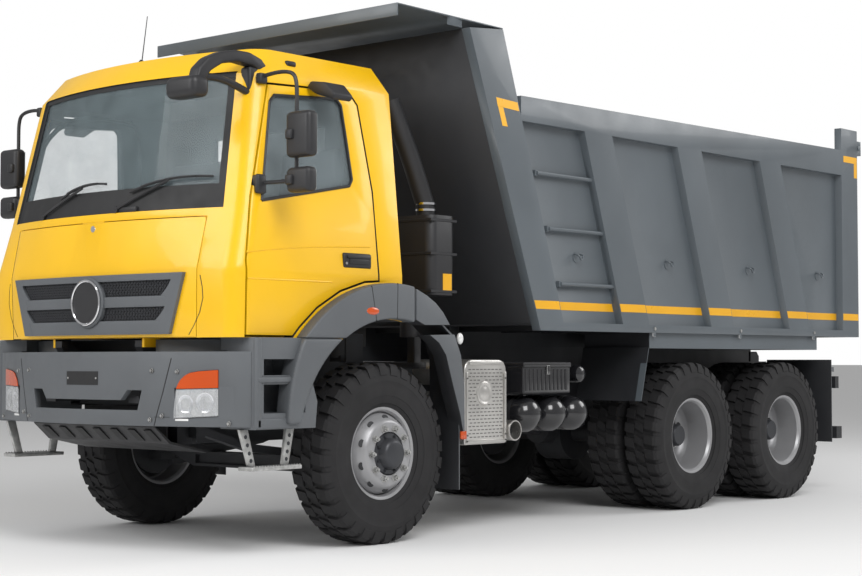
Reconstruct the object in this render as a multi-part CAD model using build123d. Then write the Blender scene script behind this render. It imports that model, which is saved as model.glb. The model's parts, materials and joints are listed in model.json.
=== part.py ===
from build123d import *
import math
import os

# A three-axle tipper. Lengths are millimetres: x forward and z up from the ground under the
# front axle, y to the left. Every node is moved forward by front_axle_x when it is saved, so
# that the origin lies on the ground below the middle of the truck.
front_axle_x = 2229
first_rear_x = -3300
bogie_spacing = 1350
second_rear_x = first_rear_x - bogie_spacing
fit_gap = 0.3

# tyres and wheels
tyre_radius = 542.5
tyre_width = 293
tyre_sides = 30
wheel_sides = 24
bead_radius = 262
bead_top = 300
seat_radius = bead_radius * math.cos(math.pi / tyre_sides) - fit_gap
barrel_radius = 248
bead_half = 101
flange_radius = 292
flange_width = 14
disc_offset = 165
disc_thickness = 14
disc_radius = 205
hub_radius = 140
hub_start = 20
hub_end = 175
drum_depth = 100
front_wheel_y = 1000
rear_wheel_y = 908
axle_height = tyre_radius * math.cos(math.pi / tyre_sides)

# frame
rail_outer = 430
rail_flange = 75
rail_web = 9
rail_top = 1085
rail_bottom = 825
rail_front = 1120
rail_rear = -5700
tow_x = 1255
tow_y = 378
tow_z = (850, 890)
tow_bore = 20.5
tow_wall = 42
subframe_top = 1190

# axles and tipping gear
kingpin_y = 890
kingpin_radius = 24
beam_low = 405
spring_y = (362, 428)
spring_reach = 830
arm_reach = 150
bogie_spring_y = (450, 530)
nose_length = 330
cylinder_x = -750
cylinder_z = 1050
cradle_y = 125
trunnion_radius = 32
hinge_radius = 38
tower = (340, 400)
tower_nose = 20
tower_top = 17

# cab
cab_rear = -150
cab_floor = 1220
cab_roof = 2880
brow_z = cab_roof - 160
screen_top = cab_roof - 145
window_top = cab_roof - 320
cab_wall = 45
arch_radius = 800
fender_radius = 1013
fender_outer = 1220
door_gap = 12
cab_corner = 130
sill_y = 1050
flap_back = 1180
flap_half = 850
bumper_low = 725
bumper_high = 1142
bumper_end_y = 1150
grille_low = 1240
grille_high = 1584
badge_z = 1428
badge_radius = 135
badge_face = 1350
fairing_front = 1103
fairing_inner = 900
fairing_outer = 1185
driver_y = 520
seat_front_x = 120
seat_floor = axle_height + math.sqrt((arch_radius + cab_wall) ** 2 - seat_front_x ** 2) + fit_gap
flap_gap = 5
flap_hinge_x = 1291.5
flap_hinge_z = 1896.9
tilt_x = 1235
tilt_z = 1190

# tipping body
side_outer = 1245
rib_depth = 60
side_plate = 8
floor_top = 1335
floor_plate = 10
side_bottom = 1290
rail_low = 2648
rail_high = 2860
canopy_rear = -994
post_x = -660
canopy_rise = 90
lean = 0.383
rib_lean = 0.345
body_rear = -5830
rib_tops = (-1886, -3040, -4211)
rib_width = 325
canopy_front = -120
canopy_high = 3270
post_high = canopy_high - canopy_rise
canopy_half = 1120
gate_pivot_x = -5858
gate_pivot_z = 2900
stage_radii = (100, 84, 68, 52)
stage_wall = 10
closed_top = 2560
pivot_x = -5500
pivot_z = 1120
beam_tail = 70
beam_nose = -1420


def block(x, y, z):
    """Box from three (low, high) pairs."""
    size = (x[1] - x[0], y[1] - y[0], z[1] - z[0])
    return Pos((x[0] + x[1]) / 2, (y[0] + y[1]) / 2, (z[0] + z[1]) / 2) * Box(*size)


def side_prism(points, y):
    """Outline of (x, z) points, extruded between two y."""
    face = make_face(Polyline(*[(px, y[0], pz) for px, pz in points], close=True))
    return extrude(face, amount=y[1] - y[0], dir=(0, 1, 0))


def plan_prism(points, z):
    """Outline of (x, y) points, extruded between two z."""
    face = make_face(Polyline(*[(px, py, z[0]) for px, py in points], close=True))
    return extrude(face, amount=z[1] - z[0], dir=(0, 0, 1))


def front_prism(points, x):
    """Outline of (y, z) points, extruded between two x."""
    face = make_face(Polyline(*[(x[0], py, pz) for py, pz in points], close=True))
    return extrude(face, amount=x[1] - x[0], dir=(1, 0, 0))


def rod(start, end, radius):
    """Round bar between two points."""
    direction = Vector(*end) - Vector(*start)
    plane = Plane(origin=start, z_dir=direction)
    return Solid.make_cylinder(radius, direction.length, plane)


def cross_rod(x, z, y, radius):
    """Round bar along y at (x, z)."""
    return rod((x, y[0], z), (x, y[1], z), radius)


def flip(shape):
    """The same shape on the right-hand side."""
    return mirror(shape, about=Plane.XZ)


def pair(shape):
    """A shape with its mirror image."""
    return [shape, flip(shape)]


def turned(profile, x, z, sides):
    """Many-sided turned solid about an axis along y; the profile is a loop of (y, radius)."""
    turn = 2 * math.pi / sides
    faces = []
    for step in range(sides):
        rays = []
        for angle in ((step - 0.5) * turn, (step + 0.5) * turn):
            rays.append((math.sin(angle), math.cos(angle)))
        for (y0, r0), (y1, r1) in zip(profile, profile[1:] + profile[:1]):
            corners = [(x + r0 * rays[0][0], y0, z + r0 * rays[0][1]),
                       (x + r0 * rays[1][0], y0, z + r0 * rays[1][1]),
                       (x + r1 * rays[1][0], y1, z + r1 * rays[1][1]),
                       (x + r1 * rays[0][0], y1, z + r1 * rays[0][1])]
            if r0 == 0:
                corners.pop(0)
            elif r1 == 0:
                corners.pop(2)
            if r0 or r1:
                faces.append(Face(Wire.make_polygon(corners, close=True)))
    solid = Solid(Shell(faces))
    return solid if solid.volume > 0 else Solid(solid.wrapped.Reversed())


def save(name, pieces):
    """Write one node, moved so that the origin is below the middle of the truck."""
    solids = []
    for piece in pieces if isinstance(pieces, list) else [pieces]:
        solids += piece.solids()
    moved = [Pos(front_axle_x, 0, 0) * solid for solid in solids]
    shape = moved[0] if len(moved) == 1 else Compound(children=moved)
    export_step(shape, f"parts/{name}.step")


def tyre_at(x, y):
    """Tyre whose middle plane is at y."""
    half = tyre_width / 2
    side = [(bead_half, bead_radius), (bead_half, bead_top), (half, 400), (half * 0.93, 500),
            (half * 0.72, tyre_radius)]
    loop = [(y + offset, radius) for offset, radius in side]
    loop += [(y - offset, radius) for offset, radius in reversed(side)]
    return turned(loop, x, axle_height, tyre_sides)


def front_wheel_at(x, y):
    """Disc wheel dished towards +y, with its hub, as one turned loop."""
    flange = bead_half + fit_gap
    edge = flange + flange_width
    back = disc_offset - disc_thickness
    loop = [(disc_offset + 60, 0), (disc_offset + 60, 75), (disc_offset + 45, 110),
            (disc_offset, hub_radius), (disc_offset, disc_radius), (edge * 0.8, barrel_radius),
            (edge, barrel_radius + 6), (edge, flange_radius), (flange, flange_radius),
            (flange, seat_radius), (-flange, seat_radius), (-flange, flange_radius),
            (-edge, flange_radius), (-edge, barrel_radius), (edge * 0.5, barrel_radius),
            (back, disc_radius - disc_thickness), (back, hub_radius), (hub_start, hub_radius),
            (hub_start, 0)]
    return turned([(y + offset, radius) for offset, radius in loop], x, axle_height, wheel_sides)


def twin_wheel_at(x, y):
    """Two wheels bolted disc to disc on one hub, which stands towards +y."""
    flange = disc_offset + bead_half + fit_gap
    edge = flange + flange_width
    waist = 30
    loop = [(hub_end, 0), (hub_end, 85), (hub_end - 90, 110), (disc_thickness, hub_radius),
            (disc_thickness, disc_radius), (80, barrel_radius), (edge, barrel_radius + 4),
            (edge, flange_radius), (flange, flange_radius), (flange, seat_radius),
            (waist, seat_radius), (0, seat_radius - waist), (-waist, seat_radius),
            (-flange, seat_radius), (-flange, flange_radius), (-edge, flange_radius),
            (-edge, barrel_radius), (-80, barrel_radius), (-disc_thickness, disc_radius),
            (-disc_thickness, hub_radius), (-drum_depth, hub_radius), (-drum_depth, 0)]
    return turned([(y + offset, radius) for offset, radius in loop], x, axle_height, wheel_sides)


os.makedirs("parts", exist_ok=True)

# wheels
front_tyre = tyre_at(0, front_wheel_y)
front_wheel = front_wheel_at(0, front_wheel_y)
twin_tyres = [tyre_at(0, rear_wheel_y - disc_offset), tyre_at(0, rear_wheel_y + disc_offset)]
twin_wheel = twin_wheel_at(0, rear_wheel_y)
for side, turn in (("left", 0), ("right", 180)):
    place = Rot(0, 0, turn)
    save(f"front_tyre_{side}", place * front_tyre)
    save(f"front_wheel_{side}", place * front_wheel)
    for axle, axle_x in (("first", first_rear_x), ("second", second_rear_x)):
        place = Pos(axle_x, 0, 0) * Rot(0, 0, turn)
        save(f"{axle}_rear_tyres_{side}", [place * solid for solid in twin_tyres])
        save(f"{axle}_rear_wheels_{side}", place * twin_wheel)

# front axle: dropped beam, leaf springs, knuckles on upright pins and the tie rod
beam_half = 55
boss_height = 110
beam_end = kingpin_y - 100
half_beam = front_prism([(0, beam_low), (520, beam_low), (beam_end, axle_height - 45),
                         (kingpin_y, axle_height - 45), (kingpin_y, axle_height + 45),
                         (beam_end, axle_height + 45), (520, beam_low + 95), (0, beam_low + 95)],
                        (-beam_half, beam_half))
beam = half_beam + flip(half_beam)
web_cut = side_prism([(beam_half - 32, beam_low + 18), (beam_half + 1, beam_low + 18),
                      (beam_half + 1, beam_low + 77), (beam_half - 32, beam_low + 77)], (-500, 500))
beam -= [web_cut, mirror(web_cut, about=Plane.YZ)]
for sign in (1, -1):
    y = sign * kingpin_y
    beam += rod((0, y, axle_height - boss_height / 2), (0, y, axle_height + boss_height / 2), 48)
    beam -= rod((0, y, 300), (0, y, 700), kingpin_radius + 0.05)
save("front_axle_beam", beam)

pad_top = beam_low + 95 + fit_gap
leaf_thick = 48
leaf = side_prism([(-spring_reach, 660), (-420, pad_top + 40), (-90, pad_top), (90, pad_top),
                   (420, pad_top + 40), (spring_reach, 660), (spring_reach, 660 + leaf_thick),
                   (420, pad_top + 40 + leaf_thick), (90, pad_top + leaf_thick),
                   (-90, pad_top + leaf_thick), (-420, pad_top + 40 + leaf_thick),
                   (-spring_reach, 660 + leaf_thick)], (spring_y[0], spring_y[1]))
for hanger_x in (-spring_reach, spring_reach):
    leaf += block((hanger_x - 35, hanger_x + 35), spring_y, (640, rail_bottom - fit_gap))

knuckle = rod((0, kingpin_y, axle_height - 110), (0, kingpin_y, axle_height + 110), kingpin_radius)
fork_gap = boss_height / 2 + 1
for low, high in ((-110, -fork_gap), (fork_gap, 110)):
    knuckle += block((-55, 55), (kingpin_y - 50, kingpin_y + 60), (axle_height + low, axle_height + high))
knuckle += block((-55, 55), (kingpin_y + 52, kingpin_y + 80), (axle_height - 110, axle_height + 110))
knuckle += cross_rod(0, axle_height, (kingpin_y + 75, kingpin_y + 100), 205)
knuckle += cross_rod(0, axle_height, (kingpin_y + 90, front_wheel_y + hub_start - fit_gap), 60)
arm_top = axle_height - 100
knuckle += side_prism([(-arm_reach - 30, arm_top - 30), (-arm_reach + 30, arm_top - 40), (-40, arm_top - 40),
                       (-40, arm_top), (-arm_reach - 30, arm_top)], (kingpin_y - 50, kingpin_y - 5))
save("knuckle_left", knuckle)
save("knuckle_right", flip(knuckle))
rod_z = arm_top + fit_gap + 24
tie_rod = cross_rod(-arm_reach, rod_z, (-kingpin_y + 60, kingpin_y - 60), 20)
for sign in (1, -1):
    y = sign * (kingpin_y - 40)
    tie_rod += rod((-arm_reach, y, arm_top + fit_gap), (-arm_reach, y, arm_top + 50), 30)
save("tie_rod", tie_rod)

# driven rear axles on a common leaf bogie
housing_end = rear_wheel_y - drum_depth - fit_gap
rear_axles = []
shaft_ends = []
drive_points = ((first_rear_x, (-1080, 740)), (second_rear_x, (first_rear_x - 216.6, axle_height + 60)))
for axle_x, (drive_x, drive_z) in drive_points:
    housing = cross_rod(axle_x, axle_height, (-housing_end, housing_end), 72)
    housing += cross_rod(axle_x, axle_height, (-130, 130), 215)
    centre = Vector(axle_x, 0, axle_height)
    along = (Vector(drive_x, 0, drive_z) - centre).normalized()
    housing += rod(centre, centre + along * nose_length, 110)
    shaft_ends.append(((drive_x, 0, drive_z), centre + along * (nose_length + fit_gap)))
    for sign in (1, -1):
        y = sorted((sign * (housing_end - 110), sign * (housing_end - 2)))
        housing += cross_rod(axle_x, axle_height, y, 205)
    rear_axles.append(housing)
save("rear_axles", rear_axles)

bogie_x = (first_rear_x + second_rear_x) / 2
seat_z = axle_height + 72 + fit_gap
half_span = bogie_spacing / 2
bogie = side_prism([(bogie_x - half_span - 90, seat_z), (bogie_x - half_span + 90, seat_z),
                    (bogie_x - 150, seat_z + 70), (bogie_x + 150, seat_z + 70),
                    (bogie_x + half_span - 90, seat_z), (bogie_x + half_span + 90, seat_z),
                    (bogie_x + half_span + 90, seat_z + 30), (bogie_x + 250, seat_z + 175),
                    (bogie_x - 250, seat_z + 175), (bogie_x - half_span - 90, seat_z + 30)],
                   bogie_spring_y)
trunnion = side_prism([(bogie_x - 90, 470), (bogie_x + 90, 470), (bogie_x + 170, seat_z + 70),
                       (bogie_x - 170, seat_z + 70)], bogie_spring_y)
bracket = block((bogie_x - 120, bogie_x + 120), (rail_outer + fit_gap, bogie_spring_y[0]), (425, rail_top - 20))
bogie += trunnion + bracket
for axle_x in (first_rear_x, second_rear_x):
    toward = 1 if axle_x < bogie_x else -1
    bogie += rod((bogie_x, bogie_spring_y[0] + 40, 500),
                 (axle_x + toward * 76, bogie_spring_y[0] + 40, axle_height - 20), 28)
trunnion_tube = cross_rod(bogie_x, 470, (-rail_outer, rail_outer), 40)
save("leaf_springs", pair(leaf) + pair(bogie) + [trunnion_tube])

# frame: two channels with cross-members
inner = rail_outer - rail_flange
channel = front_prism([(rail_outer, rail_bottom), (rail_outer, rail_top), (inner, rail_top),
                       (inner, rail_top - rail_web), (rail_outer - rail_web, rail_top - rail_web),
                       (rail_outer - rail_web, rail_bottom + rail_web),
                       (inner, rail_bottom + rail_web), (inner, rail_bottom)], (rail_rear, rail_front))
cross_z = (rail_bottom + rail_web, rail_top - rail_web)
web_y = rail_outer - rail_web
cradle_low = cylinder_z - 100
cradle = block((cylinder_x - 120, cylinder_x + 120), (-web_y, web_y), (cross_z[0], cradle_low))
cradle += cross_rod(cylinder_x, cylinder_z, (-cradle_y - 20, cradle_y + 20), trunnion_radius)
hinge_bar = cross_rod(pivot_x, pivot_z, (-inner, inner), hinge_radius)
for sign in (1, -1):
    y = sorted((sign * cradle_y, sign * (cradle_y + 25)))
    cradle += side_prism([(cylinder_x - 100, cradle_low), (cylinder_x + 100, cradle_low),
                          (cylinder_x + 50, cylinder_z + 60), (cylinder_x - 50, cylinder_z + 60)], y)
    hinge_y = sorted((sign * inner, sign * rail_outer))
    hinge_bar += side_prism([(pivot_x - 70, rail_top), (pivot_x + 70, rail_top), (pivot_x + 70, pivot_z + 50),
                             (pivot_x - 30, pivot_z + 50), (pivot_x - 70, pivot_z + 10)], hinge_y)
channel += side_prism([(rail_front - 140, rail_top), (rail_front, rail_top - 150),
                       (tilt_x + tower_nose, tilt_z - tower_nose), (tilt_x + tower_nose, tilt_z + tower_top),
                       (tilt_x - tower_nose, tilt_z + tower_top)], tower)
channel -= cross_rod(tilt_x, tilt_z, tower, 14.05)
frame = pair(channel) + [cradle, hinge_bar]
for member_x in (985, -1900, -2700, bogie_x, -4900, rail_rear + 40):
    frame.append(block((member_x - 40, member_x + 40), (-web_y, web_y), (cross_z[0] + 40, cross_z[1] - 40)))
frame.append(block((rail_front - 60, rail_front), (-tower[0], tower[0]), cross_z))

# front towing eyes: each a forged lug with an upright hole for a towing pin
tow_eye = block((rail_front, tow_x + tow_wall), (tower[0], rail_outer), tow_z)
tow_eye -= rod((tow_x, tow_y, tow_z[0] - 1), (tow_x, tow_y, tow_z[1] + 1), tow_bore)
frame += pair(tow_eye)
subframe = block((-5400, -1350), (inner, rail_outer), (rail_top + fit_gap, subframe_top))
save("chassis_frame", frame + pair(subframe))

# engine, gearbox and propeller shafts
mount_y = (fit_gap - web_y, web_y - fit_gap)
engine = block((-350, 780), (-330, 330), (600, 1170)) + block((180, 300), mount_y, (940, 1000))
radiator = block((820, 940), (-345, 345), (600, 1170)) + block((850, 910), mount_y, (900, 940))
save("engine_and_radiator", [engine, radiator])
gearbox = block((-1080, -350 - fit_gap), (-190, 190), (640, 820))
driveline = [gearbox + rod(*shaft_ends[0], 48), rod(*shaft_ends[1], 42)]
save("driveline", driveline)

# cab: one lofted form, used at several insets for the skin, the hollow and the glass
cab_rows = [  # height, front at the middle, front at the side, half width
    (cab_floor, 1300, 1190, 1130),
    (1600, 1310, 1200, 1134),
    (1935, 1290, 1098, 1105),
    (brow_z, 1125, 935, 1022),
    (cab_roof, 1000, 830, 930),
]


def cab_form(inset):
    """Closed cab form, moved inwards by an inset on every face."""
    faces = []
    for row, (z, middle, corner, half) in enumerate(cab_rows):
        rear, side = cab_rear + inset, half - inset
        front, nose = corner - inset, middle - inset
        if row == 0:
            z += inset
        if row == len(cab_rows) - 1:
            z -= inset
            rear += 60
        edges = [ThreePointArc((front, -side, z), (nose, 0, z), (front, side, z)),
                 Line((front, side, z), (rear, side, z)), Line((rear, side, z), (rear, -side, z)),
                 Line((rear, -side, z), (front, -side, z))]
        face = make_face(edges)
        corners = face.vertices().sort_by(Axis.X)[-2:]
        faces.append(fillet(corners, cab_corner - inset))
    return loft(faces, ruled=True)


arch_y = 640
arch_cut = cross_rod(0, axle_height, (arch_y, 1400), arch_radius)
arch_liner = cross_rod(0, axle_height, (arch_y - cab_wall, 1400), arch_radius + cab_wall)
cab_outer = cab_form(0) - pair(arch_cut)
cab_inner = cab_form(cab_wall) - pair(arch_liner)
cab_skin = cab_outer - cab_inner

door_outline = [(1130, cab_floor + 1), (1130, 1640), (1060, 2000), (880, window_top + 108),
                (210, window_top + 140), (135, window_top + 60), (60, 2100), (50, 1560)]
arch_edge = fender_radius + door_gap
for angle in (92, 80, 68, 56, 46):
    turn = math.radians(angle)
    door_outline.append((arch_edge * math.cos(turn), axle_height + arch_edge * math.sin(turn)))
door_outline.append((math.sqrt(arch_edge ** 2 - (cab_floor - axle_height) ** 2), cab_floor + 1))
window_outline = [(985, 1985), (870, window_top), (830, window_top + 40), (320, window_top + 75),
                  (285, window_top + 40), (238, 2160), (265, 2120)]


def side_zone(points, gap):
    """Prism of a shrunk outline, from inside the cab to well outside it."""
    face = make_face(Polyline(*[(px, 0, pz) for px, pz in points], close=True))
    if gap:
        face = offset(face, amount=-gap, kind=Kind.INTERSECTION)
    zone = extrude(Pos(0, 800, 0) * face, amount=600, dir=(0, 1, 0))
    return zone - block((-200, 1400), (700, sill_y + gap), (1100, cab_floor + 2 * cab_wall))


door_hole = side_zone(door_outline, 0)
window_hole = side_zone(window_outline, 0)
door = (cab_skin & side_zone(door_outline, door_gap)) - window_hole
glass_layer = cab_form(14) - cab_form(20)
door_glass = glass_layer & side_zone(window_outline, fit_gap)
save("door_left", door)
save("door_right", flip(door))
save("door_glass_left", door_glass)
save("door_glass_right", flip(door_glass))

screen_outline = [(-960, 1945), (960, 1945), (885, screen_top), (-885, screen_top)]


def screen_prism(gap):
    face = make_face(Polyline(*[(600, py, pz) for py, pz in screen_outline], close=True))
    if gap:
        face = offset(face, amount=-gap, kind=Kind.INTERSECTION)
    return extrude(face, amount=900, dir=(1, 0, 0))


flap_outline = [(-flap_half, cab_floor - 1), (flap_half, cab_floor - 1), (flap_half + 20, 1900), (-flap_half - 20, 1900)]
flap_hole = front_prism(flap_outline, (flap_back, 1500))
flap_front = flap_back + flap_gap
flap_face = offset(make_face(Polyline(*[(flap_front, py, pz) for py, pz in flap_outline], close=True)),
                   amount=-flap_gap, kind=Kind.INTERSECTION)
flap_zone = extrude(flap_face, amount=600, dir=(1, 0, 0))
rear_window_y = 520
rear_window_z = (2080, window_top)
rear_window_hole = block((-400, 0), (-rear_window_y, rear_window_y), rear_window_z)
shell = cab_skin - pair(door_hole) - screen_prism(0) - flap_hole - rear_window_hole
for sign in (1, -1):
    lug_y = sorted((sign * (tower[1] + 3), sign * (tower[1] + 23)))
    shell += block((flap_back - 40, tilt_x + 20), lug_y, (tilt_z - 22, cab_floor))
    pin_y = sorted((sign * tower[0], sign * (tower[1] + 23)))
    shell += cross_rod(tilt_x, tilt_z, pin_y, 14)
save("cab_shell", shell)
rear_glass = glass_layer & block((-400, 0), (fit_gap - rear_window_y, rear_window_y - fit_gap),
                                 (rear_window_z[0] + fit_gap, rear_window_z[1] - fit_gap))
save("cab_glass", [glass_layer & screen_prism(fit_gap), rear_glass])
front_flap = ((cab_form(0) - cab_form(30)) & flap_zone) + cross_rod(flap_hinge_x, flap_hinge_z, (-100, 100), 2.5)
save("front_flap", front_flap)

# grille on the service flap: frame, bars, mesh and a plain round boss
def front_zone(points):
    """Prism through the cab's front from an outline of (y, z)."""
    return front_prism(points, (1100, 1600))


def grille_line(z):
    """Half width of the grille at a height."""
    return 667 + (z - grille_low) * (779 - 667) / (grille_high - grille_low)


def grille_band(low, high, near, far):
    """Outline of a slot on the left, from a distance off the middle to a margin from the edge."""
    return [(near, low), (grille_line(low) - far, low), (grille_line(high) - far, high), (near, high)]


grille_zone = front_zone([(-grille_line(grille_low), grille_low), (grille_line(grille_low), grille_low),
                          (grille_line(grille_high), grille_high), (-grille_line(grille_high), grille_high)])
grille = (cab_form(-22) - cab_form(-fit_gap)) & grille_zone
mesh = (cab_form(-7) - cab_form(-fit_gap)) & grille_zone
slots = []
for low, high in ((grille_low + 40, 1325), (1365, 1435), (1475, grille_high - 30)):
    slot = front_zone(grille_band(low, high, badge_radius + 25, 45))
    slots += [slot, flip(slot)]
badge = rod((1290, 0, badge_z), (badge_face, 0, badge_z), badge_radius)
badge -= rod((badge_face - 14, 0, badge_z), (badge_face + 1, 0, badge_z), badge_radius - 14)
grille = (grille - slots) + (badge - cab_form(-fit_gap))
save("grille", grille)
save("grille_mesh", [solid for slot in slots for solid in (mesh & offset(slot, amount=-fit_gap)).solids()])

# cab fittings
fender = cross_rod(0, axle_height, (1105, fender_outer), fender_radius)
fender -= cross_rod(0, axle_height, (1000, 1400), arch_radius)
fender &= side_prism([(755, cab_floor), (-175, cab_floor), (-175, 1570), (755, 1570)], (1000, 1400))
fender -= cab_form(-fit_gap)
fairing_top = cab_floor - fit_gap
step_shape = [(fairing_front, 712), (640, 712), (625, 860), (755, fairing_top), (fairing_front, fairing_top)]
fairing = side_prism(step_shape, (fairing_inner, fairing_outer))
fairing -= side_prism([(fairing_front - 60, 800), (720, 800), (720, 960), (fairing_front - 60, 960)],
                      (fairing_inner + 80, 1300))
fairing -= side_prism([(fairing_front - 60, 1010), (770, 1010), (790, 1100), (fairing_front - 60, 1100)],
                      (fairing_inner + 80, 1300))
fairing -= block((600, 1200), (fairing_inner - 1, fairing_inner + 50), (740, 1150))
save("fenders", pair(fender))

hanging = []
for bar_x in (740, 1060):
    hanging.append(block((bar_x - 15, bar_x + 15), (1060, 1085), (505, 712 - fit_gap)))
step_tread = block((700, 1100), (1030, 1150), (480, 505))
step_tread -= [block((775 + 54 * k, 812 + 54 * k), (1045, 1135), (470, 520)) for k in range(5)]
step = hanging[0] + hanging[1] + step_tread
save("hanging_steps", pair(step))

dash = side_prism([(880, 1500), (1130, 1420), (1130, 1850), (1040, 1875), (860, 1800)], (-990, 990))
dash &= cab_form(cab_wall + fit_gap)
wheel_plane = Plane(origin=(740, -driver_y, 1900), z_dir=(-0.55, 0, 0.83))
ring = RegularPolygon(225, 16) - RegularPolygon(198, 16)
steering = extrude(wheel_plane * ring, amount=26)
steering += extrude(wheel_plane * (Rectangle(410, 34) + Rectangle(34, 410)), amount=18)
steering += Solid.make_cone(60, 40, 260, Plane(origin=wheel_plane.origin, z_dir=-wheel_plane.z_dir))
steering -= Pos(-fit_gap, 0, 0) * dash
save("steering_wheel", steering)
cushions = []
bases = []
for seat_y in (driver_y, -driver_y):
    cushion = chamfer(block((90, 520), (seat_y - 250, seat_y + 250), (1700, 1830)).edges(), 25)
    back_shape = side_prism([(60, 1780), (115, 1780), (35, 2400), (-60, 2380)], (seat_y - 245, seat_y + 245))
    cushions += [cushion, chamfer(back_shape.edges(), 15)]
    bases.append(block((seat_front_x, 500), (seat_y - 200, seat_y + 200), (seat_floor, 1700 - fit_gap)))
save("seat_cushions", cushions)
save("dashboard_and_seat_bases", [dash] + bases)

# bumper with its lamps and the plate under it
def bumper_face(inset, z):
    """Bumper outline on the ground plan, moved inwards by an inset."""
    side, nose = 1100 - inset, 1385 - inset
    return [ThreePointArc((1138 - inset, -side, z), (nose, 0, z), (1138 - inset, side, z))]


def bumper_slab(inset, z):
    """Solid between the bumper's front face and its open back."""
    end = bumper_end_y - inset
    back = fairing_front + 2 - inset
    edges = bumper_face(inset, z[0]) + [
        Polyline((1138 - inset, 1100 - inset, z[0]), (back, end, z[0]), (back, -end, z[0]),
                 (1138 - inset, -1100 + inset, z[0]))]
    return extrude(make_face(edges), amount=z[1] - z[0], dir=(0, 0, 1))


bumper = bumper_slab(0, (bumper_low, bumper_high)) - bumper_slab(35, (bumper_low - 1, bumper_high + 1))
slot_outline = [(0, 868), (345, 868), (395, 925), (500, 925), (470, 812), (0, 812)]
slot = front_prism(slot_outline, (1000, 1500))
bumper -= pair(slot)
valance_top = tilt_z + 22
ledge = bumper_slab(34, (bumper_high - 12, bumper_high)) - bumper_slab(151, (bumper_high - 13, bumper_high + 1))
valance = bumper_slab(150, (bumper_high - 12, valance_top)) - bumper_slab(162, (bumper_high - 13, valance_top + 1))
valance_zone = block((900, 1500), (tower[1] + 40, fairing_inner - 5), (1100, 1250))
bumper += pair((ledge + valance) & valance_zone)
lamp_outline = [(715, 940), (1062, 940), (1062, 800), (730, 776)]
lamp_hole = front_prism(lamp_outline, (1000, 1500))
bumper -= pair(lamp_hole)
for sign in (1, -1):
    arm_y = sorted((sign * (tower[1] + 6), sign * rail_outer))
    bumper += block((rail_front + fit_gap, 1340), arm_y, (1000, 1060))
save("bumper", [bumper] + pair(fairing))
lamp_zone = front_prism([(715.4, 939.7), (1061.7, 939.7), (1061.7, 800.3), (730.4, 776.4)], (1000, 1500))
lamp = (bumper_slab(8, (770, 945)) - bumper_slab(30, (769, 946))) & lamp_zone
split = front_prism([(600, 858), (1200, 880), (1200, 1000), (600, 1000)], (1000, 1500))
save("headlamps", pair(lamp - split))
save("indicators", pair(lamp & (Pos(0, 0, fit_gap) * split)))
skid = side_prism([(900, 560), (1180, 620), (1290, 716), (1290, 724.7), (1170, 632), (900, 572)], (-560, 560))
skid += block((1040, 1052), (-380, 380), (600, rail_bottom - fit_gap))
save("skid_plate", skid)

# chassis fittings on both sides
guard_y = (950, 1190)
skirt_y = (1106, 1215)
guard = side_prism([(-440, 1318), (-556, 1236), (-612, 1095), (-616, 292), (-626, 292), (-626, 1100),
                    (-566, 1246), (-446, 1330)], guard_y)
guard += side_prism([(-192, 1336), (-192, 1524), (-290, 1486), (-370, 1443), (-440, 1386), (-503, 1311),
                     (-268, 1307)], skirt_y)
guard += side_prism([(-315, 1247), (-546, 1253), (-608, 1126), (-642, 940), (-645, 640), (-630, 640),
                     (-600, 760), (-531, 941), (-465, 1126), (-400, 1200)], skirt_y)
guard += block((-656, -626), (rail_outer + fit_gap, 1000), (900, 940))

cleaner = fillet(block((-700, -457), (700, 1100), (1500, 2000)).edges().filter_by(Axis.Z), 60)
cleaner += rod((-580, 850, 1240), (-580, 850, 1500), 90)
cleaner += block((-640, -520), (rail_outer + fit_gap, 900), (1040, 1080))
cleaner += block((-610, -550), (820, 880), (1080, 1260))
save("air_cleaner", cleaner)

exhaust_form = [(-1160, 560), (-735, 560), (-735, 1040), (-790, 1100), (-1105, 1100), (-1160, 1040)]
exhaust = side_prism(exhaust_form, (690, 1150))
exhaust += cross_rod(-1215, 640, (760, 1120), 52)
exhaust += block((-1175, -1155), (900, 1000), (600, 680))
exhaust += block((-1000, -900), (rail_outer + fit_gap, 700), (900, 960))
save("exhaust_box", exhaust)

tanks = []
for tank_x, radius in ((-1466, 118), (-1742, 118), (-1990, 118)):
    tanks.append(cross_rod(tank_x, 735, (560, 1150), radius))
tank_rail = block((-2020, -1430), (rail_outer + fit_gap, 640), (853, 870))
for tank in tanks:
    tank_rail += tank
battery_box = block((-1890, -1370), (rail_outer + 20, 1120), (871, 1080))
battery_box += block((-1800, -1460), (rail_outer + fit_gap, rail_outer + 21), (900, 1060))
save("battery_box_and_air_tanks", [tank_rail, battery_box])
tank_body = fillet(block((-1900, -760), (-1130, -520), (580, 1080)).edges().filter_by(Axis.X), 70)
tank_body += block((-1700, -1000), (-521, -rail_outer - fit_gap), (860, 1040))
save("fuel_tank", tank_body)

underride = block((-5690, -5600), (-1150, 1150), (440, 540))
for y in (-392, 392):
    underride += block((-5660, -5620), (y - 30, y + 30), (540, rail_bottom - fit_gap))
flap = block((-5400, -5392), (610, 1215), (420, 1100))
flap += block((-5440, -5400), (rail_outer + fit_gap, 1215), (1000, 1040))
save("mudguards", pair(guard) + pair(flap))
lamp_bar = block((-5700, -5640), (620, 1120), (860, 960)) + block((-5690, -5660), (rail_outer + fit_gap, 621), (880, 940))
save("rear_bar", [underride] + pair(lamp_bar))

# tipping body
def lean_x(z):
    """Front line of the body at a height."""
    return post_x + lean * (z - post_high)


def rib_x(top_x, z):
    """Front line of a side rib at a height."""
    return top_x + rib_lean * (z - 2630)


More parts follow.
